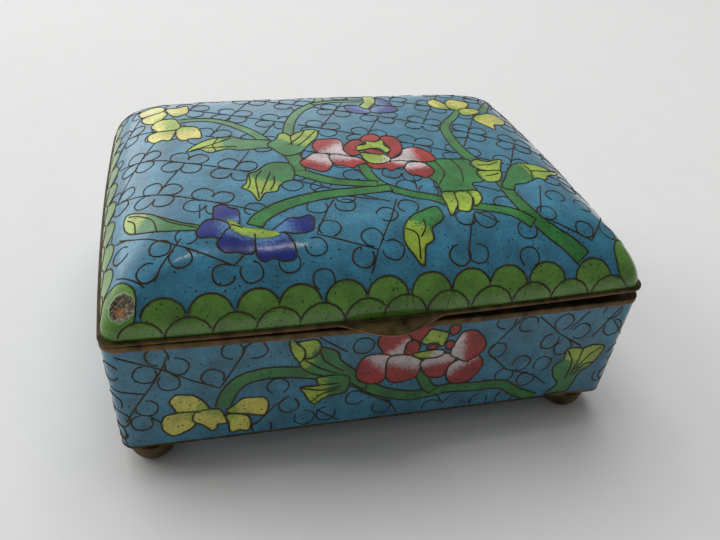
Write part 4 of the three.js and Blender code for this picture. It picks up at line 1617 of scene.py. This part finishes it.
@dataclass
class TrayDrawing:
    """The walls' picture: a peony spray on the front and back, and a plainer one on each end."""

    form: WallForm
    ring: float = 4.4  # mm, the ground pattern's loops

    def draw(self) -> Pattern:
        """The whole drawing, side by side round the walls."""
        long, corner, short = self.form.run
        step = (long + short) / 2 + corner
        pattern = Pattern()
        for middle, way in ((0.0, 1), (2 * step, -1)):
            self.long_ground(pattern, middle, way)
        for middle, way in ((step, 1), (-step, -1)):
            self.end_ground(pattern, middle, way)
        for middle, way in ((0.0, 1), (2 * step, -1)):
            self.long_vines(pattern, middle, way)
            self.long_flowers(pattern, middle, way)
        for middle, way in ((step, 1), (-step, -1)):
            self.end_spray(pattern, middle, way)
        return pattern

    def long_ground(self, pattern: Pattern, middle: float, way: int) -> None:
        """Loops and lines on a long side.

        Args:
            pattern: the drawing.
            middle: the side's middle along the walls.
            way: 1, or -1 to draw it the other way round.
        """
        at = Side(middle, way)
        for x, z, opening in ((-47, 25, 300), (-43.5, 22.2, 130), (-49.8, 20.6, 60), (-45.5, 18, 100),
                (-50.5, 11.5, 120), (-52, 7.4, 60), (-56.6, 21.6, 0), (-32.8, 25, 300), (-28.2, 24.8, 210),
                (-37, 18.4, 300), (-24, 14, 270), (-21.7, 7.8, 90), (-6.4, 23.2, None), (-7, 7.8, 0),
                (-0.6, 4, 120), (24.8, 26, 300), (30.4, 24.4, 330), (24.5, 17.6, 200), (39.2, 23.8, 250),
                (37.2, 18.4, 60), (44.4, 20.5, 200), (41.2, 16, 90), (31.7, 12.6, 210), (37.3, 11.6, 250),
                (28.2, 9.4, 70), (34.2, 7.3, 60), (50.8, 25.4, 220), (52.6, 20.4, 120), (56.2, 12.4, 200),
                (54.8, 5.6, 120), (-57.2, 13.2, 300), (-57.4, 4.4, 30), (23.4, 1.9, 60), (-13.4, 3.8, 60),
                (-18.2, 3.4, 130), (-27.6, 2.0, 60), (30.0, 1.9, 90), (11.5, 1.8, 0)):
            pattern.loop(*at(x, z), None if opening is None else (opening if way > 0 else 180 - opening))
        for run in (((-54.7, 25.7), (-46.5, 21.7), (-40.7, 17.8), (-35.8, 15.2), (-34, 18.2), (-30.7, 24.2),
                (-30.2, 27)), ((-45, 25.3), (-46.5, 21.7), (-48.3, 18.5), (-53.3, 11), (-55, 8)),
                ((-21.7, 10.8), (-24.7, 8.2), (-29, 3)), ((-50.3, 9.2), (-47, 5.5)),
                ((-6.3, 9.8), (1.3, 4.8), (3.4, 1.4)), ((30.3, 28.2), (35, 24.2), (39, 20.5), (46, 15.8)),
                ((29.3, 27.5), (26, 23.2), (22.3, 17.3), (28.3, 11.2), (36, 8.2), (40, 4.8)),
                ((45.5, 27.2), (41.3, 21.5)), ((11.8, 6.5), (14.3, 2.5), (17.2, 6.2)),
                ((-17.4, 28), (-9.8, 22)), ((-15.6, 5.4), (-10.4, 1.2)), ((52, 22.8), (56.4, 17.4)),
                ((48, 18.2), (53, 27)), ((-57, 17.2), (-50.4, 15.4))):
            pattern.line(*[at(x, z) for x, z in run])

    def end_ground(self, pattern: Pattern, middle: float, way: int) -> None:
        """Knots of loops and the lines that join them, on a short side."""
        at = Side(middle, way)
        for i in range(-3, 4):
            low, high = (13.4 * i - 2, 7.4), (13.4 * i + 4.7, 20.6)
            for x, z in (low, high):
                pattern.knot(*at(x, z), 24.0, self.ring)
            pattern.line(at(low[0] - 4.6, -1), at(*low), at(*high), at(high[0] + 4, 28))
            pattern.line(at(*high), at(low[0] + 13.4, low[1]))

    def long_vines(self, pattern: Pattern, middle: float, way: int) -> None:
        """The vine and the buds of a long side."""
        at = Side(middle, way)
        pattern.vine(at.all((-35.6, 9.6), (-33.9, 13.8), (-31.3, 16.7), (-28, 17.8), (-24, 18), (-18, 17.0),
            (-10, 14.4), (-5.3, 11.5), (-2, 9.2), (1.3, 7.7), (5.3, 6.5), (9.3, 6.5), (14.7, 7.3),
            (21, 6.8), (25, 6.8), (28.7, 6.2), (32, 3.8), (34.7, 2.2), (38, 0.6)), 3.2, 2.6)
        pattern.vine(at.all((7.3, 17), (7.0, 14.5), (8.2, 11.4), (9.6, 8.8), (11.3, 7.2)), 2.2, 2.6)
        leaf, lime = Glaze.LEAF, Glaze.LIME
        for points, start, end in ((((-5.2, 10.4), (-5, 13.4), (-8.7, 17.4), (-11, 19.9), (-11.9, 22.3),
                (-15.2, 23.9), (-17.4, 21.8), (-19.6, 20), (-18, 17.4), (-14.7, 15.7), (-12, 15.1),
                (-8.4, 12.6)), (-15.4, 20.4), (-17.6, 21.8)),
                (((-21.4, 27.6), (-21.7, 25.8), (-21.1, 22.8), (-19.6, 20.3), (-18.6, 21.8), (-18.6, 23.8),
                (-20, 25.3)), None, None),
                (((-20.1, 25.7), (-18.6, 23.6), (-18.3, 21.2), (-16.4, 21.6), (-15.2, 23.8), (-16.2, 26.1),
                (-18.3, 26.1)), (-16.2, 22.2), (-17.4, 23.4)),
                (((-8.6, 12.8), (-9.3, 15), (-12.6, 15.6), (-14.4, 15.4), (-15.9, 15.2), (-15.6, 13.2),
                (-17.6, 13), (-19.3, 12.8), (-18.4, 10.9), (-17.4, 8.6), (-16, 7.4), (-14.6, 8.6),
                (-12.6, 9.4), (-9.6, 9.8)), (-12.4, 11.9), (-14.6, 11.6)),
                (((41, 0.9), (44.4, 1.1), (46.8, 1.2), (47.8, 4.2), (48.6, 7), (51, 9.6), (52.4, 12.8),
                (52.3, 15), (49, 15.7), (47, 14.9), (45.2, 15.4), (42.7, 15.1), (42.6, 12.2), (40.7, 10.2),
                (41.6, 6.8), (43.4, 4.2)), (45.8, 9), (47.2, 11.8))):
            if start is None:
                pattern.shape(at.all(*points), lime)
            else:
                pattern.shape(at.all(*points), leaf, lime, at(*start), at(*end))
        pattern.veins(at.all((-15.4, 22.6), (-14, 19.6), (-10.4, 16.6)),
            at.all((-18.4, 20.6), (-15.2, 18), (-11.6, 16)),
            at.all((-17.4, 12.8), (-14.2, 13), (-11, 12.9)),
            at.all((-16.8, 8.2), (-14.2, 10.4), (-11, 11.2)),
            at.all((-19, 12.6), (-14.8, 11.4), (-10.6, 12)), at.all((43, 14.8), (45.2, 11), (45.2, 5.6)),
            at.all((47, 14.6), (46.8, 10.6), (46.2, 6.6)), at.all((51.8, 14.6), (49.2, 12.4), (47, 8.4)),
            at.all((51.2, 10), (48.8, 9.6), (47, 6.6)))

    def long_flowers(self, pattern: Pattern, middle: float, way: int) -> None:
        """The yellow flower and the peony of a long side."""
        at = Side(middle, way)
        white, red, lime, yellow = Glaze.WHITE, Glaze.RED, Glaze.LIME, Glaze.YELLOW
        for points, near, far, start, end in ((((-44.5, 14.4), (-46, 12.8), (-45.4, 10.8), (-44.6, 9.1),
                (-41.3, 9.1), (-38.3, 9.1), (-39.3, 11.8), (-41, 13.7), (-43, 14.2)), lime, yellow,
                (-39.6, 9.6), (-42, 11)),
                (((-47.9, 7.8), (-48.2, 4.8), (-46.4, 2.6), (-44.5, 3), (-41.8, 4.8), (-40.9, 8.2),
                (-42.4, 9.2), (-46.3, 9)), lime, yellow, (-41.6, 8.4), (-44.4, 6.8)),
                (((-41, 8.8), (-41.9, 6.5), (-39.8, 4.6), (-38.3, 2.8), (-37, 3.4), (-37, 4.5), (-35, 4.7),
                (-35.6, 7.8), (-36.8, 9.3)), lime, yellow, (-37, 8.6), (-38.4, 6.4)),
                (((-35, 7.2), (-34.6, 4.5), (-34.4, 1.6), (-32.3, 1.9), (-30.5, 1.5), (-29.9, 4.2),
                (-31.1, 6.5)), lime, yellow, (-34.4, 6.4), (-32.8, 4.4)),
                (((-35, 7.9), (-33.3, 9.7), (-31.3, 11.5), (-29.3, 11.5), (-26.8, 11), (-26, 8.8),
                (-27, 5.8), (-29.7, 6.4), (-31.9, 7)), lime, yellow, (-34, 8.2), (-31, 8.8)),
                (((-2.5, 25.4), (-3, 23.2), (-2, 21.6), (-1.3, 20), (1.3, 19.3), (2.7, 19.6), (2.9, 21.8),
                (3.2, 23.8), (1.3, 25.6)), white, red, (1.8, 20.6), (-0.2, 22.8)),
                (((-6.4, 18.6), (-7, 15.5), (-6.2, 13.4), (-4, 12.1), (-1.8, 12.3), (-0.7, 14.5),
                (-0.3, 17.2), (-0.7, 19.2), (-3.3, 19.9), (-5.3, 19.7)), white, red, (-1.2, 18.2),
                (-3.8, 15.6)), (((-0.2, 18.6), (-0.3, 14.5), (0.7, 12.1), (2.7, 11.6), (5.8, 12.4),
                (6.5, 14.5), (6.7, 16.6), (4.7, 18.2), (3, 18.9)), white, red, (3.8, 17.4), (2.6, 14.2)),
                (((7.4, 16.4), (7.9, 14.4), (8.7, 13.2), (9.9, 12), (12.3, 11.8), (13.5, 13.8),
                (14.3, 15.6), (13.7, 17.6), (10.3, 18)), white, red, (10.4, 17.2), (11, 14)),
                (((14.4, 14.6), (14.1, 11.5), (15.6, 9.3), (19.2, 9.3), (21.2, 12.5), (21.2, 14.8),
                (19.7, 16.4), (17.4, 16.2)), white, red, (15.6, 15.2), (17.8, 12.4)),
                (((14.6, 22), (13.8, 18.5), (15.6, 17), (17.8, 15.8), (20.5, 18.2), (20.7, 20.6),
                (18.9, 23), (17.7, 24), (15.6, 23.9)), white, red, (14.8, 19.6), (17.8, 20)),
                (((2.7, 21), (3, 19.4), (5.2, 19.2), (6, 21), (5.2, 23), (3.2, 23)), red, red, (0, 0),
                (1, 0)), (((3.4, 24.6), (5.2, 23), (6.6, 23.4), (7.9, 25.4), (7.8, 27.4), (3.2, 27.4)), red,
                red, (0, 0), (1, 0)), (((11.9, 25), (12.8, 23.7), (14.1, 24.4), (14.3, 26), (13, 26.6),
                (12, 26.2)), red, red, (0, 0), (1, 0)),
                (((11.9, 21.8), (12, 20), (13, 19.6), (13.8, 20.7), (13.5, 21.8), (12.6, 22.2)), red, red,
                (0, 0), (1, 0)), (((6, 22.6), (7, 24.8), (7.7, 26), (10, 25.3), (11.9, 24.2), (11.5, 21.8),
                (11, 20.8), (9.3, 22), (7.3, 21.8)), lime, lime, (0, 0), (1, 0)),
                (((4.6, 19.2), (7, 17.7), (10.8, 17.7), (12, 18.9), (10.6, 19.8), (7.4, 19.8)), lime, white,
                (7, 19), (11.6, 18.4)), (((7.4, 20.8), (8.8, 20.1), (10.3, 20.8), (8.8, 21.5)), red, red,
                (0, 0), (1, 0))):
            spread = 0.5 if near is white else 0.0
            pattern.shape(at.all(*grown(points, spread)), near, far, at(*start), at(*end))

    def end_spray(self, pattern: Pattern, middle: float, way: int) -> None:
        """A blue flower and buds on a vine, for a short side."""
        at = Side(middle, way)
        leaf, lime, blue, cobalt = Glaze.LEAF, Glaze.LIME, Glaze.PALE_BLUE, Glaze.COBALT
        pattern.vine(at.all((-34, 0.6), (-29, 6), (-22, 8.6), (-14, 8), (-6, 9), (0, 12.4), (8, 11.6),
            (16, 9), (24, 11), (30, 15)), 2.8, 2.4)
        pattern.vine(at.all((-19, 8.6), (-20.6, 12.4), (-24.4, 15.4)), 2.2, 2.6)
        for points, start, end in ((((-23, 13.6), (-27, 13.4), (-30.6, 15), (-33.6, 17.6), (-35.4, 21.4),
                (-31.8, 20.8), (-28.4, 20.6), (-25, 18.8), (-23, 16.4)), (-27.4, 17), (-30, 17.6)),
                (((10.4, 9.4), (11.2, 6), (14, 3), (17.6, 1.4), (22.6, 1.4), (20.6, 4.4), (18.6, 6.6),
                (16, 9), (12.6, 10.6)), (14.4, 6.6), (16.6, 5)),
                (((28.4, 12.6), (32.6, 12.8), (36.4, 14.6), (39, 18), (40.4, 22.2), (36.6, 21.4), (33, 21),
                (29.6, 18.8), (27.8, 15.8)), (32, 16.6), (34.6, 17.8))):
            pattern.shape(at.all(*points), leaf, lime, at(*start), at(*end))
        pattern.veins(at.all((-34.6, 20.6), (-30, 17.6), (-25.6, 15.4)),
            at.all((-33, 20), (-30.4, 19), (-26, 17.4)), at.all((21.8, 1.8), (17.6, 4.4), (13.6, 7.6)),
            at.all((19.6, 5), (17.4, 6), (14.6, 8.6)), at.all((39.6, 21.2), (35.6, 17.4), (30.6, 15)),
            at.all((38, 21), (34.6, 19.4), (30.8, 17.4)))
        for points, start, end in ((((-0.4, 17.6), (-4.4, 18.2), (-7.4, 17.4), (-8.4, 14.6), (-6.6, 12.2),
                (-3.6, 12.4), (-0.4, 14.6)), (-1, 16), (-5.4, 15)),
                (((0.2, 17.4), (1.2, 21), (-0.6, 24), (-4, 24.6), (-6.6, 22.6), (-6.4, 19.4), (-3.4, 17.6)),
                (-0.6, 18), (-3.4, 21.4)),
                (((1.2, 17.6), (4, 18), (6.4, 20.6), (6.6, 23.6), (4, 25.4), (1.2, 24.6), (0.2, 21)),
                (1.8, 18.4), (3.6, 22)),
                (((2.6, 17), (6, 15), (9.6, 15.6), (11.2, 18), (10.2, 20.8), (7.2, 21.2), (4.4, 19)),
                (3.8, 17.4), (8, 18.2)),
                (((0.4, 15.4), (-1.6, 12.4), (-0.6, 9.6), (2.2, 8.6), (5.2, 9.8), (6, 12.8), (3.6, 15.6)),
                (1.8, 14.8), (2.4, 11.2))):
            pattern.shape(at.all(*points), blue, cobalt, at(*start), at(*end))
        pattern.shape(at.all((-1, 16), (1, 18.4), (3.6, 18), (3.6, 15.6), (1, 14.6)), lime)


@dataclass
class Tray:
    """The enamelled tray with its wires, seat band, foot band and feet."""

    form: WallForm = field(default_factory=WallForm)
    wall: float = 1.8
    floor: float = 1.6
    rebate: float = 0.63
    rebate_depth: float = 1.2
    seat_height: float = 1.5
    flange_rise: float = 2.4
    spacing: float = 1.05
    wire_radius: float = 0.22
    wire_sunk: float = 0.1
    foot_radius: float = 5.2
    foot_pad: float = 2.3
    foot_height: float = 5.6

    @property
    def top(self) -> float:
        """The enamel's upper edge, under the seat band."""
        return self.form.height - self.seat_height

    def placement(self) -> Matrix:
        """Where the tray's underside stands, on its feet."""
        low, high = node_box("box_body")
        middle = (low + high) / 2
        return Placement((float(middle[0]), float(middle[1]), float(low[2]))).matrix()

    def enamel(self, pattern: Pattern, finish: bpy.types.Material) -> bpy.types.Object:
        """The walls, floor and inside as one closed piece.

        Args:
            pattern: the drawing.
            finish: the enamel.

        Returns:
            The piece.
        """
        start, end = self.form.seam, self.form.seam + self.form.girth
        along = np.linspace(start, end, 401)
        rise = np.linspace(self.rebate, self.top, 26)
        border = np.vstack([np.column_stack([along, np.full(len(along), self.rebate)]),
            np.column_stack([np.full(24, end), rise[1:-1]]),
            np.column_stack([along[::-1], np.full(len(along), self.top)]),
            np.column_stack([np.full(24, start), rise[-2:0:-1]])])
        tiling = tiled(pattern, border, self.spacing)
        right = np.flatnonzero(np.abs(tiling.points[:, 0] - end) < 1e-4)
        left = np.flatnonzero(np.abs(tiling.points[:, 0] - start) < 1e-4)
        swap = np.arange(len(tiling.points))
        for index in right:
            swap[index] = left[np.argmin(np.abs(tiling.points[left, 1] - tiling.points[index, 1]))]
        joined = Tiling(tiling.points, swap[tiling.triangles], tiling.owners)
        skin = Skin("tray_enamel", pattern, joined, self.form.wrap(tiling.points),
            surface_normals(self.form, tiling.points))
        inner_wall = self.wall
        for level, order, rings in ((self.top, -1,
                [(self.form.plan(self.top, inner_wall), self.top),
                (self.form.plan(self.floor, inner_wall), self.floor)]),
                (self.rebate, 1, [(self.form.plan(0.0, self.rebate_depth), self.rebate),
                (self.form.plan(0.0, self.rebate_depth), 0.0)])):
            edge = rim_points(joined)
            edge = edge[np.abs(tiling.points[edge, 1] - level) < 1e-4]
            edge = edge[np.argsort(order * tiling.points[edge, 0])]
            skin.close(edge, self.form.turn_at(tiling.points[edge, 0]), rings)
        made = skin.build(self.placement(), Glaze.SKY, {})
        made.data.materials.append(finish)
        return made

    def wires(self, name: str, runs: Sequence[np.ndarray], grower: Grower,
            finish: bpy.types.Material) -> bpy.types.Object:
        """Sweeps wires along flat runs laid on the walls."""
        laid = [self.form.wrap(run) - surface_normals(self.form, run) * self.wire_sunk for run in runs]
        return grower.grow(wire_seed(name, laid, self.placement()), finish,
            Wire_Radius=self.wire_radius * MM)

    def seat(self, grower: Grower, finish: bpy.types.Material) -> bpy.types.Object:
        """The band that the lid rests on, with the flange that keeps the lid in place."""
        level = self.form.height - self.seat_height / 2
        outer, inner, flange_in, flange_out = 0.10, 4.2, 4.2, 3.5
        rim = LidForm().rim
        face = grower.grow(ring_seed("seat_face", rim((outer + inner) / 2), level, self.placement()),
            finish, Width=(inner - outer) * MM, Height=self.seat_height * MM, Rounding=0.25 * MM)
        flange = grower.grow(ring_seed("seat_flange", rim((flange_in + flange_out) / 2),
            level + self.flange_rise / 2, self.placement()), finish, Width=(flange_in - flange_out) * MM,
            Height=(self.seat_height + self.flange_rise) * MM, Rounding=0.3 * MM)
        made = joined_piece("tray_seat_band", [face, flange])
        points = points_of(made)
        low = node_box("seat_band")[0][2]
        set_share(made, "wear", np.clip(1.2 - (points[:, 2] - low) / 0.3, 0, 1) * 0.8)
        return made

    def foot_band(self, grower: Grower, finish: bpy.types.Material) -> bpy.types.Object:
        """The narrow strip soldered round the foot of the walls."""
        plan = self.form.plan(0.3, 0.525)
        made = grower.grow(ring_seed("tray_foot_band", plan, 0.3, self.placement()), finish,
            Width=1.29 * MM, Height=0.6 * MM, Rounding=0.18 * MM)
        # Painted sheen: the band is made lighter towards the box's right end.
        set_share(made, "wear", np.clip((points_of(made)[:, 0] - 40) / 14, 0, 0.7))
        return made

    def feet(self, finish: bpy.types.Material) -> bpy.types.Object:
        """Four turned bun feet, each cast with a soft lip and a small flat to stand on."""
        t = np.linspace(-math.pi / 2, 0, 13)
        radius = self.foot_pad + (self.foot_radius - self.foot_pad) * np.cos(t)
        level = self.foot_height + self.foot_height * np.sin(t)
        radius = np.concatenate([[self.foot_pad * 0.4], radius, [self.foot_radius * 0.98]])
        level = np.concatenate([[0.0], level, [self.foot_height]])
        turns = np.linspace(0, 2 * math.pi, 40, endpoint=False)
        rings = [np.column_stack([r * np.cos(turns), r * np.sin(turns), np.full(40, z)]) for r,
            z in zip(radius, level)]
        faces = []
        for i in range(len(rings) - 1):
            for j in range(40):
                k = (j + 1) % 40
                faces.append((i * 40 + j, i * 40 + k, (i + 1) * 40 + k, (i + 1) * 40 + j))
        faces.append(tuple(range(40))[::-1])
        faces.append(tuple((len(rings) - 1) * 40 + j for j in range(40)))
        turned = plain_mesh("turned_foot", np.vstack(rings), faces, Matrix.Scale(MM, 4))
        outward_faces(turned)
        spots = []
        for name in ("foot_front_left", "foot_front_right", "foot_back_left", "foot_back_right"):
            low, high = node_box(name)
            spots.append(((low[0] + high[0]) / 2, (low[1] + high[1]) / 2, 0.0))
        seed = plain_mesh("bun_feet", np.array(spots), [], Matrix.Scale(MM, 4))
        made = set_on_points(turned).grow(seed, finish)
        bpy.data.objects.remove(turned)
        set_share(made, "wear", np.clip(0.5 - points_of(made)[:, 2] / 3, 0, 0.5))
        return made


def joined_piece(name: str, parts: Sequence[bpy.types.Object]) -> bpy.types.Object:
    """Joins pieces of one metal into one mesh."""
    work = bmesh.new()
    for part in parts:
        work.from_mesh(part.data)
    mesh = bpy.data.meshes.new(name)
    work.to_mesh(mesh)
    work.free()
    mesh.materials.append(parts[0].data.materials[0])
    for part in parts:
        bpy.data.objects.remove(part)
    return link_object(name, mesh)


# ---------------------------------------------------------------- studio


@dataclass
class Studio:
    """Pale paper, soft lamps and the camera."""

    camera_at: tuple[float, float, float] = (-39.86, -146.28, 123.54)
    yaw: float = 16.93
    pitch: float = 35.32
    roll: float = 5.72
    lens: float = 35.0

    def camera(self) -> None:
        """Sets the camera at the view."""
        yaw, pitch, roll = (math.radians(a) for a in (self.yaw, self.pitch, self.roll))
        ahead = Vector((math.sin(yaw) * math.cos(pitch), math.cos(yaw) * math.cos(pitch), -math.sin(pitch)))
        level = Vector((math.cos(yaw), -math.sin(yaw), 0.0))
        up = level.cross(ahead)
        right = level * math.cos(roll) + up * math.sin(roll)
        top = up * math.cos(roll) - level * math.sin(roll)
        made = bpy.data.objects.new("camera", bpy.data.cameras.new("camera"))
        bpy.context.scene.collection.objects.link(made)
        turn = Matrix((right, top, -ahead)).transposed()
        made.matrix_world = Matrix.Translation(Vector(self.camera_at) * MM) @ turn.to_4x4()
        made.data.lens = self.lens
        made.data.sensor_width = 36.0
        made.data.clip_start = 0.005
        bpy.context.scene.camera = made

    def floor(self) -> None:
        """The sheet of paper that the box stands on."""
        mesh = bpy.data.meshes.new("paper")
        reach = 6.0
        mesh.from_pydata([(-reach, -reach, 0), (reach, -reach, 0), (reach, reach, 0), (-reach, reach, 0)],
            [], [(0, 1, 2, 3)])
        paper = link_object("paper", mesh)
        mesh.materials.append(MattePaper().build())

    def lamp(self, name: str, at: Point, height: float, size: float, power: float, aim: Sequence[float],
            mirrored: bool = True) -> None:
        """A soft square lamp.

        Args:
            name: its name.
            at: its place on the floor plan, in metres.
            height: its height in metres.
            size: its width in metres.
            power: its power in watts.
            aim: the point it faces.
            mirrored: whether glossy things show it.
        """
        data = bpy.data.lights.new(name, "AREA")
        data.size = size
        data.energy = power
        made = bpy.data.objects.new(name, data)
        made.visible_glossy = mirrored
        bpy.context.scene.collection.objects.link(made)
        place = Vector((at[0], at[1], height))
        made.location = place
        made.rotation_euler = (Vector(aim) - place).to_track_quat("-Z", "Y").to_euler()

    def light(self) -> None:
        """Bright walls behind and beside the box, a dim room in front, and small ceiling lights."""
        world = bpy.data.worlds.new("room")
        bpy.context.scene.world = world
        world.use_nodes = True
        tree = world.node_tree
        tree.nodes.clear()
        coordinate = add_node(tree, "ShaderNodeTexCoord")
        heading = add_node(tree, "ShaderNodeSeparateXYZ", inputs={0: coordinate.outputs["Generated"]})
        aside = add_node(tree, MATH, {"operation": "MULTIPLY_ADD"},
            {0: heading.outputs["X"], 1: -0.26, 2: 0.5})
        share = add_node(tree, MATH, {"operation": "MULTIPLY_ADD"},
            {0: heading.outputs["Y"], 1: 0.43, 2: aside.outputs[0]})
        tone = add_node(tree, RAMP, inputs={"Fac": share.outputs[0]},
            stops=((0.1, grey(0.4)), (0.5, grey(0.36)), (0.8, grey(1.1)), (0.97, grey(3.6))))
        sky = add_node(tree, "ShaderNodeBackground",
            inputs={"Color": tone.outputs["Color"], "Strength": 0.5})
        add_node(tree, "ShaderNodeOutputWorld", inputs={"Surface": sky.outputs[0]})
        self.lamp("window", (-0.95, 0.6), 0.5, 1.0, 6, (0, 0, 0.03), mirrored=False)
        self.lamp("ceiling", (0.05, 0.6), 1.4, 1.4, 15, (0, 0, 0.03), mirrored=False)
        for name, x, y in (("left_tube", -0.18, 0.12), ("right_tube", 0.1, 0.15)):
            self.lamp(name, (x, y), 1.5, 0.07, 0.35, (0, 0, 0.03))

    def set_up(self) -> None:
        """Builds it all."""
        self.camera()
        self.floor()
        self.light()
        bpy.context.scene.view_settings.view_transform = "Standard"


def main() -> None:
    """Builds the box piece by piece."""
    logging.basicConfig(level=logging.INFO, format="%(message)s")
    Studio().set_up()
    enamel = FiredEnamel().build()
    wire = AgedMetal("oxidised_copper_wire", "#54462E", "#7A5636", "#33291B", 0.5).build()
    bronze = AgedMetal("browned_bronze", "#6A5836", "#A8764A", "#2C2616", 0.5).build()
    wires, bands = wire_grower(), band_grower()

    lid = Lid()
    picture = LidDrawing(lid.form).draw()
    border = lid.form.outline().at(np.linspace(0, 8, 400, endpoint=False))
    mount(lid.enamel(picture, enamel), "enamel", "lid_shell")
    mount(lid.wires("lid_motif_wires", picture.clipped(border, picture.strands), wires, wire), "bronze")
    mount(lid.wires("lid_ground_wires", picture.clipped(border, picture.ground), wires, wire), "bronze")
    mount(lid.band(bands, bronze), "bronze", "lid_band")
    mount(lid.tab(bronze), "bronze", "thumb_tab")

    tray = Tray()
    picture = TrayDrawing(tray.form).draw()
    start, end = tray.form.seam, tray.form.seam + tray.form.girth
    border = np.array([(start, tray.rebate), (end, tray.rebate), (end, tray.top), (start, tray.top)])
    mount(tray.enamel(picture, enamel), "enamel", "box_body")
    mount(tray.wires("tray_motif_wires", picture.clipped(border, picture.strands), wires, wire), "bronze")
    mount(tray.wires("tray_ground_wires", picture.clipped(border, picture.ground), wires, wire), "bronze")
    mount(tray.seat(bands, bronze), "bronze", "seat_band")
    mount(tray.foot_band(bands, bronze), "bronze", "bottom_edge_band")
    mount(tray.feet(bronze), "bronze", "foot_front_left", "foot_front_right", "foot_back_left",
        "foot_back_right")


if __name__ == "__main__":
    main()
